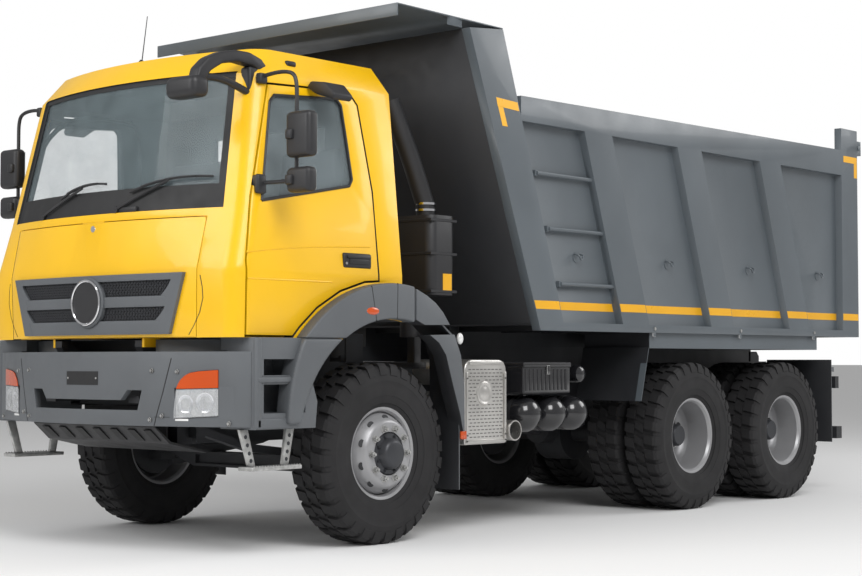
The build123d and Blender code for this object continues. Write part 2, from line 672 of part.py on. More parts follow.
panel_y = (side_outer - rib_depth - side_plate, side_outer - rib_depth)
rib_y = (side_outer - rib_depth, side_outer)
side_form = [(lean_x(side_bottom), side_bottom), (lean_x(post_high), post_high), (canopy_rear, post_high + 34.7), (-1190, rail_high - 50),
             (-5560, rail_high), (-5560, 3045), (body_rear, 3045), (body_rear, side_bottom)]
bed_side = side_prism(side_form, panel_y)
post = [(lean_x(side_bottom), side_bottom), (lean_x(post_high), post_high), (canopy_rear, post_high + 34.7), (-1138, 2802),
        (-1138 - 0.341 * (2802 - side_bottom), side_bottom)]
bed_side += side_prism(post, rib_y)
bed_side += side_prism([(-1180, rail_high - 50), (-1180, rail_low), (-5560, rail_low), (-5560, rail_high)], rib_y)
bed_side += side_prism([(-1600, side_bottom), (-1600, 1345), (-5600, 1345), (-5600, side_bottom)], rib_y)
for top_x in rib_tops:
    rib = [(rib_x(top_x, rail_low + 5), rail_low + 5), (rib_x(top_x, 1340), 1340),
           (rib_x(top_x, 1340) - rib_width, 1340), (rib_x(top_x, rail_low + 5) - rib_width, rail_low + 5)]
    bed_side += side_prism(rib, rib_y)
bed_side += side_prism([(-5549, side_bottom), (-5549, 3045), (body_rear, 3045), (body_rear, side_bottom)], rib_y)
for rung_z, front_x in ((2325, -1380), (1965, -1510), (1603, -1640)):
    rung = rod((front_x, side_outer - 30, rung_z), (front_x - 640, side_outer - 30, rung_z), 14)
    bed_side += rung
hinge_block = block((gate_pivot_x - 40, body_rear), (side_outer - 40, side_outer), (gate_pivot_z - 60, gate_pivot_z + 60))
bed_side += hinge_block - cross_rod(gate_pivot_x, gate_pivot_z, (1000, 1300), 20.05)
save("bed_sides", pair(bed_side))

half_floor = panel_y[0] - fit_gap
floor = block((body_rear, lean_x(floor_top)), (-half_floor, half_floor), (floor_top - floor_plate, floor_top))
beam_z = (side_bottom, floor_top - floor_plate)
for beam in range(10):
    beam_x = -1560 - beam * 466
    floor += block((beam_x - 35, beam_x + 35), (-half_floor, half_floor), beam_z)
for sign in (1, -1):
    beam_y = sorted((sign * inner, sign * rail_outer))
    floor += block((pivot_x - beam_tail, beam_nose), beam_y, (subframe_top + fit_gap, floor_top - floor_plate))
    ear_y = sorted((sign * (inner - 5), sign * (inner - 75)))
    ear = side_prism([(pivot_x - 70, pivot_z), (pivot_x + 70, pivot_z), (pivot_x + 120, side_bottom),
                      (pivot_x - 70, side_bottom)], ear_y)
    ear += cross_rod(pivot_x, pivot_z, ear_y, 70)
    ear += block((pivot_x - 70, pivot_x + 120), ear_y, (side_bottom, floor_top - floor_plate))
    floor += ear - cross_rod(pivot_x, pivot_z, (-600, 600), hinge_radius + 0.05)
save("bed_floor", floor)

bulkhead = side_prism([(lean_x(floor_top + fit_gap), floor_top + fit_gap), (lean_x(post_high), post_high),
                       (lean_x(post_high) - 9, post_high), (lean_x(floor_top + fit_gap) - 9, floor_top + fit_gap)],
                      (-half_floor, half_floor))
for y in (-85, 60):
    bulkhead += side_prism([(lean_x(2580), 2580), (lean_x(2820), 2820), (cylinder_x + 55, 2740),
                            (cylinder_x + 55, 2660)], (y, y + 25))
save("bulkhead", bulkhead)
apron_x = (-5150, -2700)
apron_z = (1180, side_bottom - fit_gap)
apron_y = (640, 1205)
aprons = [block(apron_x, (apron_y[1], apron_y[1] + side_plate), apron_z),
          block(apron_x, apron_y, (apron_z[0], apron_z[0] + side_plate)),
          side_prism([(apron_x[1] + 100, 810), (apron_x[1] + 108, 806), (apron_x[1] + 8, apron_z[0] + side_plate),
                      (apron_x[1], apron_z[0] + side_plate)], (apron_y[0], apron_y[1] + side_plate))]
for brace_x in (apron_x[1] - 20, -3975, apron_x[0] + 50):
    aprons.append(block((brace_x, brace_x + 10), apron_y, (apron_z[0] + side_plate, apron_z[1])))
save("bed_aprons", [solid for plate in aprons for solid in pair(plate)])

roof_top = [(canopy_rear, post_high + 44), (canopy_front, canopy_high), (canopy_front, canopy_high - 80),
            (canopy_front - 8, canopy_high - 80), (canopy_front - 8, canopy_high - 9),
            (canopy_rear, post_high + 35)]
canopy = side_prism(roof_top, (-side_outer, side_outer))
for sign in (1, -1):
    cheek_y = sorted((sign * (side_outer - 68), sign * (side_outer - 60)))
    canopy += side_prism([(lean_x(post_high) + 2, post_high + 3), (canopy_front, canopy_high - 80),
                          (canopy_front, canopy_high - 2), (lean_x(post_high) + 2, post_high + 60)], cheek_y)
taper = plan_prism([(canopy_front + 1, canopy_half), (canopy_front + 1, 1400), (canopy_rear, 1400), (canopy_rear, side_outer)],
                   (canopy_high - 270, canopy_high + 130))
save("canopy", canopy - pair(taper))

# tailgate, hung from its upper edge
gate_x = (body_rear - 18, body_rear - 8)
gate = block(gate_x, (-1196, 1196), (floor_top, gate_pivot_z - 60))
for low, high in ((floor_top, floor_top + 120), (1900, 1980), (gate_pivot_z - 160, gate_pivot_z - 60)):
    gate += block((gate_x[0] - 50, gate_x[0]), (-1196, 1196), (low, high))
for y in (-1196, -440, 360, 1116):
    gate += block((gate_x[0] - 50, gate_x[0]), (y, y + 80), (floor_top, gate_pivot_z - 60))
for sign in (1, -1):
    ear_y = sorted((sign * 1150, sign * 1196))
    gate += block((gate_pivot_x - 25, gate_pivot_x + 25), ear_y, (gate_pivot_z - 100, gate_pivot_z))
    gate += cross_rod(gate_pivot_x, gate_pivot_z, ear_y, 25)
    pin_y = sorted((sign * 1150, sign * (side_outer + 8)))
    gate += cross_rod(gate_pivot_x, gate_pivot_z, pin_y, 20)
save("tailgate", gate)

# telescopic cylinder
barrel = rod((cylinder_x, 0, cylinder_z + 60), (cylinder_x, 0, closed_top), stage_radii[0])
barrel -= rod((cylinder_x, 0, cylinder_z + 75), (cylinder_x, 0, 3000), stage_radii[0] - stage_wall)
barrel += block((cylinder_x - 60, cylinder_x + 60), (-100, 100), (cylinder_z - 55, cylinder_z + 75))
barrel -= cross_rod(cylinder_x, cylinder_z, (-200, 200), trunnion_radius + 0.05)
save("cylinder_barrel", barrel)
for stage, name in enumerate(("cylinder_stage_one", "cylinder_stage_two", "cylinder_stage_three"), start=1):
    top = closed_top + 30 * stage
    sleeve = rod((cylinder_x, 0, cylinder_z + 75 + fit_gap), (cylinder_x, 0, top), stage_radii[stage])
    if stage < 3:
        sleeve -= rod((cylinder_x, 0, cylinder_z + 74), (cylinder_x, 0, 3000), stage_radii[stage] - stage_wall)
    else:
        sleeve += cross_rod(cylinder_x, 2700, (-48, 48), 50)
    save(name, sleeve)

# mirrors: two housings on a tube on each door, a kerb mirror, and one on an arm at the front
tube_x = 900
mirror_top = cab_roof - 190
mirror_path = [(tube_x, 1012, mirror_top), (tube_x, 1290, mirror_top - 10), (tube_x, 1290, 2085), (1000, 1072, 2085)]
mirrors = rod(mirror_path[0], mirror_path[1], 11)
for start, end in zip(mirror_path[1:], mirror_path[2:]):
    mirrors += rod(start, end, 11)
mirrors += block((tube_x - 40, tube_x + 60), (1235, 1440), (2205, 2475))
mirrors += block((tube_x - 40, tube_x + 60), (1240, 1435), (2010, 2165))
mirrors += block((420, 560), (1050, 1230), (mirror_top - 65, mirror_top + 10))
mirrors += block((470, 510), (1025, 1051), (mirror_top - 50, mirror_top))
skin_form = cab_form(-fit_gap)
mirrors -= skin_form
kept = [solid for solid in mirrors.solids() if solid.volume > 1000]
save("mirrors_left", kept)
save("mirrors_right", [flip(solid) for solid in kept])
elbow = (1120, 1000, mirror_top + 100)
front_mirror = rod((850, 900, mirror_top + 15), elbow, 22) + rod(elbow, (1330, 930, mirror_top - 30), 22)
front_mirror += Solid.make_sphere(22, Plane(elbow))
front_mirror += fillet(block((1300, 1440), (780, 1040), (mirror_top - 170, mirror_top - 30)).edges().filter_by(Axis.Y), 45)
front_mirror -= skin_form
save("front_mirror", [solid for solid in front_mirror.solids() if solid.volume > 100000])
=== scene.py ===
import json
import math

import bmesh
import bpy
from mathutils import Matrix, Vector

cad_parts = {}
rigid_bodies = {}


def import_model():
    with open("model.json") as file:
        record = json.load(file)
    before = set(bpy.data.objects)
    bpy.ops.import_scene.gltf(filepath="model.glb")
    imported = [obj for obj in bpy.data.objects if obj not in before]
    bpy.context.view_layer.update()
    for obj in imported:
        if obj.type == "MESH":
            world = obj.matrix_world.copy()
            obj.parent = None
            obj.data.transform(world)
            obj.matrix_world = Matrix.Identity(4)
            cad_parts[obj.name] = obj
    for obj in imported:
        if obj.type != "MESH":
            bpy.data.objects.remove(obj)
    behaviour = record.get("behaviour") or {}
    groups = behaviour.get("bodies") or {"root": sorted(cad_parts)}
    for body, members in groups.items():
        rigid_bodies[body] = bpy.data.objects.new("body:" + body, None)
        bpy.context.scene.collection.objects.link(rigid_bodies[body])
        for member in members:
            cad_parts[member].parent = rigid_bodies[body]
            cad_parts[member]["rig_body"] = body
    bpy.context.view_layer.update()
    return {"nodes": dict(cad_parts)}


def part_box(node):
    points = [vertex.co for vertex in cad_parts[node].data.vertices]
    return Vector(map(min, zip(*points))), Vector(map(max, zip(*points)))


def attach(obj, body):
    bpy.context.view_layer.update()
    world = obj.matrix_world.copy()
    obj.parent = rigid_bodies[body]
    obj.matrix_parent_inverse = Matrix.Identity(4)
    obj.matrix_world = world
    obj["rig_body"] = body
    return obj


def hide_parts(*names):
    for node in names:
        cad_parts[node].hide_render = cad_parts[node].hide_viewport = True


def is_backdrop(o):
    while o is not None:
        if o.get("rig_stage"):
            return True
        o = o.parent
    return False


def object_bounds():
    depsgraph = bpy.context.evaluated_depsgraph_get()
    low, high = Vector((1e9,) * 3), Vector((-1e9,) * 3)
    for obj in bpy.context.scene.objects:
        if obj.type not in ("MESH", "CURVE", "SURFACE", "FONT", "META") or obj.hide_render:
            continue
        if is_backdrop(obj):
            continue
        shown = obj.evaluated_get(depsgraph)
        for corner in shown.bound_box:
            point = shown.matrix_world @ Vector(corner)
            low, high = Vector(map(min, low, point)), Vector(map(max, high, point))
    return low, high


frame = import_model()
nodes = frame["nodes"]
frontAxle = sum(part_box("front_tyre_left"), Vector()) / 2  # the datum is the ground under it
axleHeight = frontAxle.z
sides = (("left", 1), ("right", -1))


def at(x, y, z):
    # a place measured from the ground under the front axle, in metres
    return Vector((frontAxle.x + x, y, z))


def placed(points):
    return [at(*point) for point in points]


print("materials")


def nodeMaterial(name, colour, roughness, metallic=0.0):
    # a plain finish, with its node tree and the coordinates that patterns read
    made = bpy.data.materials.new(name)
    made.use_nodes = True
    tree = made.node_tree
    shader = tree.nodes["Principled BSDF"]
    shader.inputs["Base Color"].default_value = (*colour, 1)
    shader.inputs["Roughness"].default_value = roughness
    shader.inputs["Metallic"].default_value = metallic
    coords = tree.nodes.new("ShaderNodeTexCoord")
    return made, tree, shader, coords.outputs["Object"]


def noiseInto(tree, coords, scale, detail, stretch=(1, 1, 1)):
    mapping = tree.nodes.new("ShaderNodeMapping")
    mapping.inputs["Scale"].default_value = stretch
    tree.links.new(coords, mapping.inputs["Vector"])
    noise = tree.nodes.new("ShaderNodeTexNoise")
    noise.inputs["Scale"].default_value = scale
    noise.inputs["Detail"].default_value = detail
    tree.links.new(mapping.outputs["Vector"], noise.inputs["Vector"])
    return noise.outputs["Fac"]


def rampInto(tree, factor, stops):
    # stops are (place, colour) pairs, where a colour may be a single grey level
    ramp = tree.nodes.new("ShaderNodeValToRGB")
    while len(ramp.color_ramp.elements) < len(stops):
        ramp.color_ramp.elements.new(0.5)
    for element, (place, colour) in zip(ramp.color_ramp.elements, stops):
        element.position = place
        element.color = (*colour, 1) if len(colour) == 3 else (colour[0], colour[0], colour[0], 1)
    tree.links.new(factor, ramp.inputs["Fac"])
    return ramp.outputs["Color"]


def bumpInto(tree, shader, height, strength, distance):
    bump = tree.nodes.new("ShaderNodeBump")
    bump.inputs["Strength"].default_value = strength
    bump.inputs["Distance"].default_value = distance
    tree.links.new(height, bump.inputs["Height"])
    tree.links.new(bump.outputs["Normal"], shader.inputs["Normal"])


def scaled(colour, factor):
    return tuple(min(1.0, channel * factor) for channel in colour)


usualLook = {"metallic": 0.0, "broadScale": 1.7, "shade": (0.93, 1.06), "patchScale": 9.0, "spread": 0.06,
             "grainScale": 220.0, "grainStretch": (1, 1, 1), "bump": 0.15, "depth": 0.0006, "coat": 0.0}


def variedMaterial(name, look):
    # a finish whose colour, gloss and grain vary over the surface
    look = {**usualLook, **look}
    colour, roughness, spread = look["colour"], look["roughness"], look["spread"]
    made, tree, shader, coords = nodeMaterial(name, colour, roughness, look["metallic"])
    low, high = look["shade"]
    broad = noiseInto(tree, coords, look["broadScale"], 3.0)
    shades = rampInto(tree, broad, [(0.35, scaled(colour, low)), (0.65, scaled(colour, high))])
    tree.links.new(shades, shader.inputs["Base Color"])
    patches = noiseInto(tree, coords, look["patchScale"], 5.0)
    gloss = rampInto(tree, patches, [(0.3, (roughness - spread,)), (0.7, (roughness + spread,))])
    tree.links.new(gloss, shader.inputs["Roughness"])
    grain = noiseInto(tree, coords, look["grainScale"], 2.0, look["grainStretch"])
    bumpInto(tree, shader, grain, look["bump"], look["depth"])
    shader.inputs["Coat Weight"].default_value = look["coat"]
    shader.inputs["Coat Roughness"].default_value = 0.06
    return made


looks = {
    "yellowPaint": {"colour": (0.88, 0.5, 0.001), "roughness": 0.36, "coat": 0.22, "shade": (0.97, 1.03),
                    "spread": 0.04, "grainScale": 60, "bump": 0.04, "depth": 0.0004},
    "greyPlastic": {"colour": (0.104, 0.112, 0.121), "roughness": 0.52, "grainScale": 420, "bump": 0.35},
    "blackPlastic": {"colour": (0.018, 0.018, 0.02), "roughness": 0.48, "grainScale": 420, "bump": 0.3},
    "bodyGrey": {"colour": (0.1, 0.117, 0.131), "roughness": 0.4, "broadScale": 0.9, "shade": (0.9, 1.08),
                 "patchScale": 5, "grainScale": 90, "bump": 0.06, "coat": 0.12},
    "bodyDark": {"colour": (0.02, 0.021, 0.024), "roughness": 0.55, "grainScale": 120, "bump": 0.15},
    "frameDark": {"colour": (0.022, 0.023, 0.026), "roughness": 0.5, "grainScale": 150, "bump": 0.25},
    "castDark": {"colour": (0.035, 0.036, 0.04), "roughness": 0.62, "grainScale": 160, "bump": 0.5, "depth": 0.0012},
    "wheelSilver": {"colour": (0.36, 0.36, 0.37), "roughness": 0.36, "metallic": 0.35, "shade": (0.88, 1.05),
                    "grainScale": 300, "bump": 0.12},
    "hubDark": {"colour": (0.05, 0.052, 0.058), "roughness": 0.42, "metallic": 0.4, "grainScale": 260, "bump": 0.3},
    "tyreRubber": {"colour": (0.0125, 0.012, 0.013), "roughness": 0.82, "shade": (0.8, 1.35), "grainScale": 240,
                   "bump": 0.45, "depth": 0.0012},
    "galvanised": {"colour": (0.5, 0.5, 0.49), "roughness": 0.42, "metallic": 0.75, "broadScale": 26,
                   "shade": (0.75, 1.12), "grainScale": 180, "bump": 0.2},
    "stainless": {"colour": (0.6, 0.585, 0.56), "roughness": 0.33, "metallic": 0.9, "shade": (0.85, 1.08),
                  "grainScale": 60, "grainStretch": (1, 1, 12), "bump": 0.12},
    "aluminium": {"colour": (0.56, 0.565, 0.57), "roughness": 0.3, "metallic": 0.9, "grainScale": 80,
                  "grainStretch": (1, 10, 10), "bump": 0.1},
    "chrome": {"colour": (0.8, 0.8, 0.82), "roughness": 0.1, "metallic": 1.0, "spread": 0.04, "bump": 0.03},
    "seatFabric": {"colour": (0.05, 0.052, 0.06), "roughness": 0.9, "grainScale": 500, "bump": 0.6},
    "interior": {"colour": (0.03, 0.032, 0.035), "roughness": 0.7, "grainScale": 300, "bump": 0.3},
    "stripeYellow": {"colour": (0.84, 0.42, 0.012), "roughness": 0.32, "shade": (0.95, 1.05), "bump": 0.05},
    "orangeLens": {"colour": (0.58, 0.07, 0.001), "roughness": 0.16, "coat": 0.7, "bump": 0.05},
    "redLens": {"colour": (0.42, 0.006, 0.004), "roughness": 0.16, "coat": 0.7, "bump": 0.05},
    "clearLens": {"colour": (0.78, 0.78, 0.77), "roughness": 0.14, "coat": 0.8, "bump": 0.05},
    "shieldHoleShade": {"colour": (0.15, 0.147, 0.142), "roughness": 0.5, "metallic": 0.5, "grainScale": 90, "bump": 0.1},
    "tankBlack": {"colour": (0.014, 0.014, 0.016), "roughness": 0.2, "coat": 0.6, "spread": 0.04, "grainScale": 90,
                  "bump": 0.04},
    "rubberSeal": {"colour": (0.012, 0.012, 0.013), "roughness": 0.6, "grainScale": 300, "bump": 0.2},
    "mirrorGlass": {"colour": (0.75, 0.78, 0.8), "roughness": 0.04, "metallic": 1.0, "spread": 0.02, "bump": 0.01},
}
materials = {name: variedMaterial(name, look) for name, look in looks.items()}


def glassMaterial(name, tint, clear):
    # thin tinted pane: mostly see-through, with a glossy skin and faint dust
    made, tree, shader, coords = nodeMaterial(name, tint, 0.03)
    shader.inputs["Alpha"].default_value = clear
    dust = noiseInto(tree, coords, 6.0, 6.0)
    tree.links.new(rampInto(tree, dust, [(0.4, (0.02,)), (0.75, (0.09,))]), shader.inputs["Roughness"])
    tree.links.new(rampInto(tree, dust, [(0.3, (clear - 0.03,)), (0.8, (clear + 0.05,))]), shader.inputs["Alpha"])
    bumpInto(tree, shader, dust, 0.02, 0.0004)
    return made


glasses = {"cabGlass": ((0.36, 0.45, 0.48), 0.17), "doorGlass": ((0.42, 0.5, 0.53), 0.2),
           "lampGlass": ((0.7, 0.72, 0.74), 0.28)}
for name, (tint, clear) in glasses.items():
    materials[name] = glassMaterial(name, tint, clear)


def finished(bm, name, body, finishes, slotName, *replaced, sharp=34):
    # turns a bmesh into one piece that rides on a body
    mesh = bpy.data.meshes.new(name)
    bm.to_mesh(mesh)
    bm.free()
    for finish in [finishes] if isinstance(finishes, str) else finishes:
        mesh.materials.append(materials[finish])
    mesh.shade_smooth()
    mesh.set_sharp_from_angle(angle=math.radians(sharp))
    piece = bpy.data.objects.new(name, mesh)
    bpy.context.scene.collection.objects.link(piece)
    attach(piece, body)
    if replaced:
        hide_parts(*replaced)
    return piece


def rounded(bm, edges, width, segments, clamped=False):
    return bmesh.ops.bevel(bm, geom=list(edges), offset=width, segments=segments, affect="EDGES", profile=0.5,
                           material=-1, clamp_overlap=clamped)["faces"]


def roundedAndPainted(bm, faces, edges, bevel, segments, index):
    # rounds the edges and gives every face, old and new, its material
    if bevel:
        faces |= set(rounded(bm, edges, bevel, segments))
    for face in faces:
        if face.is_valid:
            face.material_index = index


def addBox(bm, low, high, bevel=0.0, segments=2, index=0):
    # box between two corners, with its edges rounded
    verts = bmesh.ops.create_cube(bm, size=1.0)["verts"]
    place = Matrix.Translation((Vector(high) + Vector(low)) / 2) @ Matrix.Diagonal((*(Vector(high) - Vector(low)), 1))
    bmesh.ops.transform(bm, matrix=place, verts=verts)
    faces = {face for vert in verts for face in vert.link_faces}
    edges = {edge for vert in verts for edge in vert.link_edges}
    roundedAndPainted(bm, faces, edges, bevel, segments, index)


def addBoxes(bm, *boxes):
    # boxes given as (low corner, high corner, bevel, segments, material), measured from the datum
    for low, high, *look in boxes:
        addBox(bm, at(*low), at(*high), *look)


def addRod(bm, start, end, radius, sides=20, index=0, endRadius=None, bevel=0.0):
    # round bar between two points
    start, end = Vector(start), Vector(end)
    turn = (end - start).to_track_quat("Z", "Y").to_matrix().to_4x4()
    made = bmesh.ops.create_cone(bm, cap_ends=True, segments=sides, radius1=radius,
                                 radius2=radius if endRadius is None else endRadius, depth=(end - start).length,
                                 matrix=Matrix.Translation((start + end) / 2) @ turn)
    faces = {face for vert in made["verts"] for face in vert.link_faces}
    rims = {edge for face in faces if len(face.verts) > 4 for edge in face.edges}
    roundedAndPainted(bm, faces, rims, bevel, 2, index)


def addStud(bm, foot, push, radius, sides=20, index=0, bevel=0.0):
    addRod(bm, foot, foot + Vector(push), radius, sides, index, bevel=bevel)


def addPrism(bm, points, push, index=0, bevel=0.0, segments=2):
    # flat outline of corners, pushed along a vector into a solid
    corners = [bm.verts.new(point) for point in points]
    new = bmesh.ops.extrude_face_region(bm, geom=[bm.faces.new(corners)])
    moved = [item for item in new["geom"] if isinstance(item, bmesh.types.BMVert)]
    bmesh.ops.translate(bm, vec=push, verts=moved)
    faces = {face for vert in corners + moved for face in vert.link_faces}
    bmesh.ops.recalc_face_normals(bm, faces=list(faces))
    edges = {edge for face in faces for edge in face.edges}
    roundedAndPainted(bm, faces, edges, bevel, segments, index)


def addSlab(bm, y, outline, wide, bevel=0.0, segments=2):
    # an outline of (x, z) corners seen from the side, thickened along y
    addPrism(bm, [at(x, y, z) for x, z in outline], (0, wide, 0), 0, bevel, segments)


def addLathe(bm, profile, centre, steps=72, index=0):
    # closed profile of (y, radius) pairs turned about a line along y through the centre
    before = set(bm.faces)
    ring = [bm.verts.new((centre[0], centre[1] + y, centre[2] + radius)) for y, radius in profile]
    edges = [bm.edges.new(pair) for pair in zip(ring, ring[1:] + ring[:1])]
    bmesh.ops.spin(bm, geom=ring + edges, cent=centre, axis=(0, 1, 0), angle=2 * math.pi, steps=steps,
                   use_merge=True)
    verts = {vert for face in bm.faces if face not in before for vert in face.verts}
    bmesh.ops.remove_doubles(bm, verts=list(verts), dist=1e-5)
    faces = [face for face in bm.faces if face not in before]
    bmesh.ops.recalc_face_normals(bm, faces=faces)
    for face in faces:
        face.material_index = index


def addTurned(bm, profile, place, steps, index=0, slew=-90, axis="Z"):
    # a turned shape stood on a place, its own axis pointing forward unless another turn is given
    before = set(bm.verts)
    addLathe(bm, profile, (0, 0, 0), steps, index)
    turn = Matrix.Translation(place) @ Matrix.Rotation(math.radians(slew), 4, axis)
    bmesh.ops.transform(bm, matrix=turn, verts=[vert for vert in bm.verts if vert not in before])


def addPlate(bm, outer, inner, index=0):
    # closed plate between two grids of points that face each other
    before = set(bm.faces)
    outer, inner = [[[bm.verts.new(point) for point in row] for row in grid] for grid in (outer, inner)]
    lastRow, lastColumn = len(outer) - 1, len(outer[0]) - 1
    for r in range(lastRow):
        for k in range(lastColumn):
            bm.faces.new((outer[r][k], outer[r][k + 1], outer[r + 1][k + 1], outer[r + 1][k]))
            bm.faces.new((inner[r][k], inner[r + 1][k], inner[r + 1][k + 1], inner[r][k + 1]))
        for k in (0, lastColumn):
            bm.faces.new((outer[r][k], outer[r + 1][k], inner[r + 1][k], inner[r][k]))
    for r in (0, lastRow):
        for k in range(lastColumn):
            bm.faces.new((outer[r][k], inner[r][k], inner[r][k + 1], outer[r][k + 1]))
    faces = [face for face in bm.faces if face not in before]
    bmesh.ops.recalc_face_normals(bm, faces=faces)
    for face in faces:
        face.material_index = index


def addTube(bm, points, radius, sides=12, index=0):
    # bent round tube through a list of points
    curve = bpy.data.curves.new("tubePath", "CURVE")
    curve.dimensions = "3D"
    curve.bevel_depth = radius
    curve.bevel_resolution = max(1, sides // 4 - 1)
    curve.use_fill_caps = True
    curve.resolution_u = 6
    spline = curve.splines.new("NURBS")
    spline.points.add(len(points) - 1)
    for target, point in zip(spline.points, points):
        target.co = (*point, 1)
    spline.order_u = 3
    spline.use_endpoint_u = True
    holder = bpy.data.objects.new("tubePath", curve)
    mesh = bpy.data.meshes.new_from_object(holder)
    before = set(bm.faces)
    bm.from_mesh(mesh)
    for face in bm.faces:
        if face not in before:
            face.material_index = index
    bpy.data.objects.remove(holder)
    bpy.data.meshes.remove(mesh)


def toOtherSide(bm, verts, faces):
    bmesh.ops.scale(bm, vec=(1, -1, 1), verts=verts)
    bmesh.ops.reverse_faces(bm, faces=faces)


def mirrored(bm):
    # the other side's copy of everything in the bmesh
    made = bmesh.ops.duplicate(bm, geom=bm.verts[:] + bm.edges[:] + bm.faces[:])["geom"]
    toOtherSide(bm, [item for item in made if isinstance(item, bmesh.types.BMVert)],
                [item for item in made if isinstance(item, bmesh.types.BMFace)])


def softened(node, finish, width, segments, slotName):
    # the node's own shape with its creases rounded, as a pressed or moulded piece has them
    bm = bmesh.new()
    bm.from_mesh(nodes[node].data)
    bmesh.ops.remove_doubles(bm, verts=bm.verts, dist=2e-5)
    bmesh.ops.dissolve_limit(bm, angle_limit=math.radians(1.2), verts=bm.verts, edges=bm.edges,
                             delimit={"NORMAL"}, use_dissolve_boundaries=False)
    bmesh.ops.triangulate(bm, faces=[face for face in bm.faces if len(face.verts) > 4])
    bmesh.ops.join_triangles(bm, faces=bm.faces[:], angle_face_threshold=math.radians(1.5),
                             angle_shape_threshold=math.radians(180), topology_influence=0, deselect_joined=False)
    creases = [edge for edge in bm.edges if edge.is_manifold and edge.calc_face_angle() > math.radians(25)]
    rounded(bm, creases, width, segments, clamped=True)
    return finished(bm, node + "_piece", nodes[node]["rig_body"], finish, slotName, node, sharp=50)


print("finishes of the plain nodes")
plainNodes = {
    "frameDark": ("chassis_frame", "rear_bar", "cylinder_barrel"),
    "castDark": ("engine_and_radiator", "driveline", "front_axle_beam", "leaf_springs", "rear_axles",
                 "knuckle_left", "knuckle_right", "tie_rod"),
    "bodyDark": ("bed_floor", "bed_aprons"),
    "chrome": ("cylinder_stage_one", "cylinder_stage_two", "cylinder_stage_three"),
    "interior": ("dashboard_and_seat_bases",), "blackPlastic": ("skid_plate",),
    "cabGlass": ("cab_glass",), "doorGlass": ("door_glass_left", "door_glass_right"),
}
for finish, names in plainNodes.items():
    for node in names:
        nodes[node].data.materials.clear()
        nodes[node].data.materials.append(materials[finish])

print("tyres and wheels")
tyre = {"lugs": 32, "lugHalfAngle": 0.062, "skew": 0.05, "twinShift": 0.165}
tyreLoop = [(-0.095, 0.2655), (-0.116, 0.278), (-0.126, 0.3), (-0.131, 0.3), (-0.1345, 0.312), (-0.1405, 0.345),
            (-0.142, 0.345), (-0.1425, 0.352), (-0.1455, 0.4), (-0.1452, 0.43), (-0.1462, 0.432), (-0.1455, 0.445),
            (-0.139, 0.48), (-0.131, 0.505), (-0.116, 0.5195), (-0.06, 0.5225), (0, 0.5235)]
tyreLoop = tyreLoop + [(-y, radius) for y, radius in reversed(tyreLoop[:-1])]
shoulderLug = [(0.042, 0.516), (0.042, 0.538), (0.07, 0.539), (0.116, 0.5375), (0.134, 0.5225), (0.1425, 0.492),
               (0.1455, 0.468), (0.14, 0.466), (0.13, 0.495), (0.114, 0.512)]
centreLug = [(-0.036, 0.516), (-0.036, 0.5385), (0.036, 0.5385), (0.036, 0.516)]


def addLug(bm, section, middle, halfAngle, skew, centre):
    # one block of tread: a section in the (y, radius) plane swept round a short arc
    rings = []
    for side in (-1, 1):
        turns = [middle + side * halfAngle + skew * y / 0.14 for y, radius in section]
        rings.append([bm.verts.new(centre + Vector((radius * math.sin(turn), y, radius * math.cos(turn))))
                      for turn, (y, radius) in zip(turns, section)])
    faces = [bm.faces.new(rings[0]), bm.faces.new(rings[1][::-1])]
    for k in range(len(section)):
        after = (k + 1) % len(section)
        faces.append(bm.faces.new((rings[0][k], rings[1][k], rings[1][after], rings[0][after])))
    bmesh.ops.recalc_face_normals(bm, faces=faces)


def addTyre(bm, centre):
    addLathe(bm, tyreLoop, centre, 96)
    pitch, halfAngle, skew = 2 * math.pi / tyre["lugs"], tyre["lugHalfAngle"], tyre["skew"]
    otherShoulder = [(-y, radius) for y, radius in reversed(shoulderLug)]
    for k in range(tyre["lugs"]):
        addLug(bm, shoulderLug, k * pitch, halfAngle, skew, centre)
        addLug(bm, otherShoulder, (k + 0.5) * pitch, halfAngle, skew, centre)
        addLug(bm, centreLug, (k + 0.25) * pitch, halfAngle * 0.8, skew * 2.4, centre)


rimLoop = [(-0.1, 0.2605), (-0.1013, 0.288), (-0.108, 0.2915), (-0.115, 0.288), (-0.115, 0.281), (-0.107, 0.26),
           (-0.09, 0.2485), (0.09, 0.2485), (0.107, 0.26), (0.115, 0.281), (0.115, 0.288), (0.108, 0.2915),
           (0.1013, 0.288), (0.1, 0.2605), (0.08, 0.2545), (-0.08, 0.2545)]
frontDisc = [(0.055, 0.249), (0.088, 0.241), (0.128, 0.221), (0.152, 0.203), (0.162, 0.192), (0.165, 0.182),
             (0.165, 0.13), (0.15, 0.13), (0.15, 0.18), (0.142, 0.19), (0.12, 0.205), (0.08, 0.226), (0.045, 0.237),
             (0.04, 0.249)]
rearDisc = [(0.085, 0.249), (0.055, 0.24), (0.034, 0.222), (0.02, 0.205), (0.014, 0.192), (0.014, 0.13),
            (0.0005, 0.13), (0.0005, 0.196), (0.008, 0.212), (0.024, 0.232), (0.04, 0.249)]
frontHub = [(0.1, 0), (0.1, 0.127), (0.158, 0.127), (0.168, 0.12), (0.172, 0.098), (0.205, 0.086), (0.216, 0.078),
            (0.222, 0.062), (0.222, 0)]
rearHub = [(-0.1, 0), (-0.1, 0.13), (0.014, 0.13), (0.022, 0.118), (0.06, 0.108), (0.085, 0.104), (0.092, 0.084),
           (0.155, 0.08), (0.17, 0.07), (0.172, 0)]


def outward(loop, side, shift=0.0):
    # a profile faced to one side of the truck, and shifted along the axle
    return [((y + shift) * side, radius) for y, radius in loop]


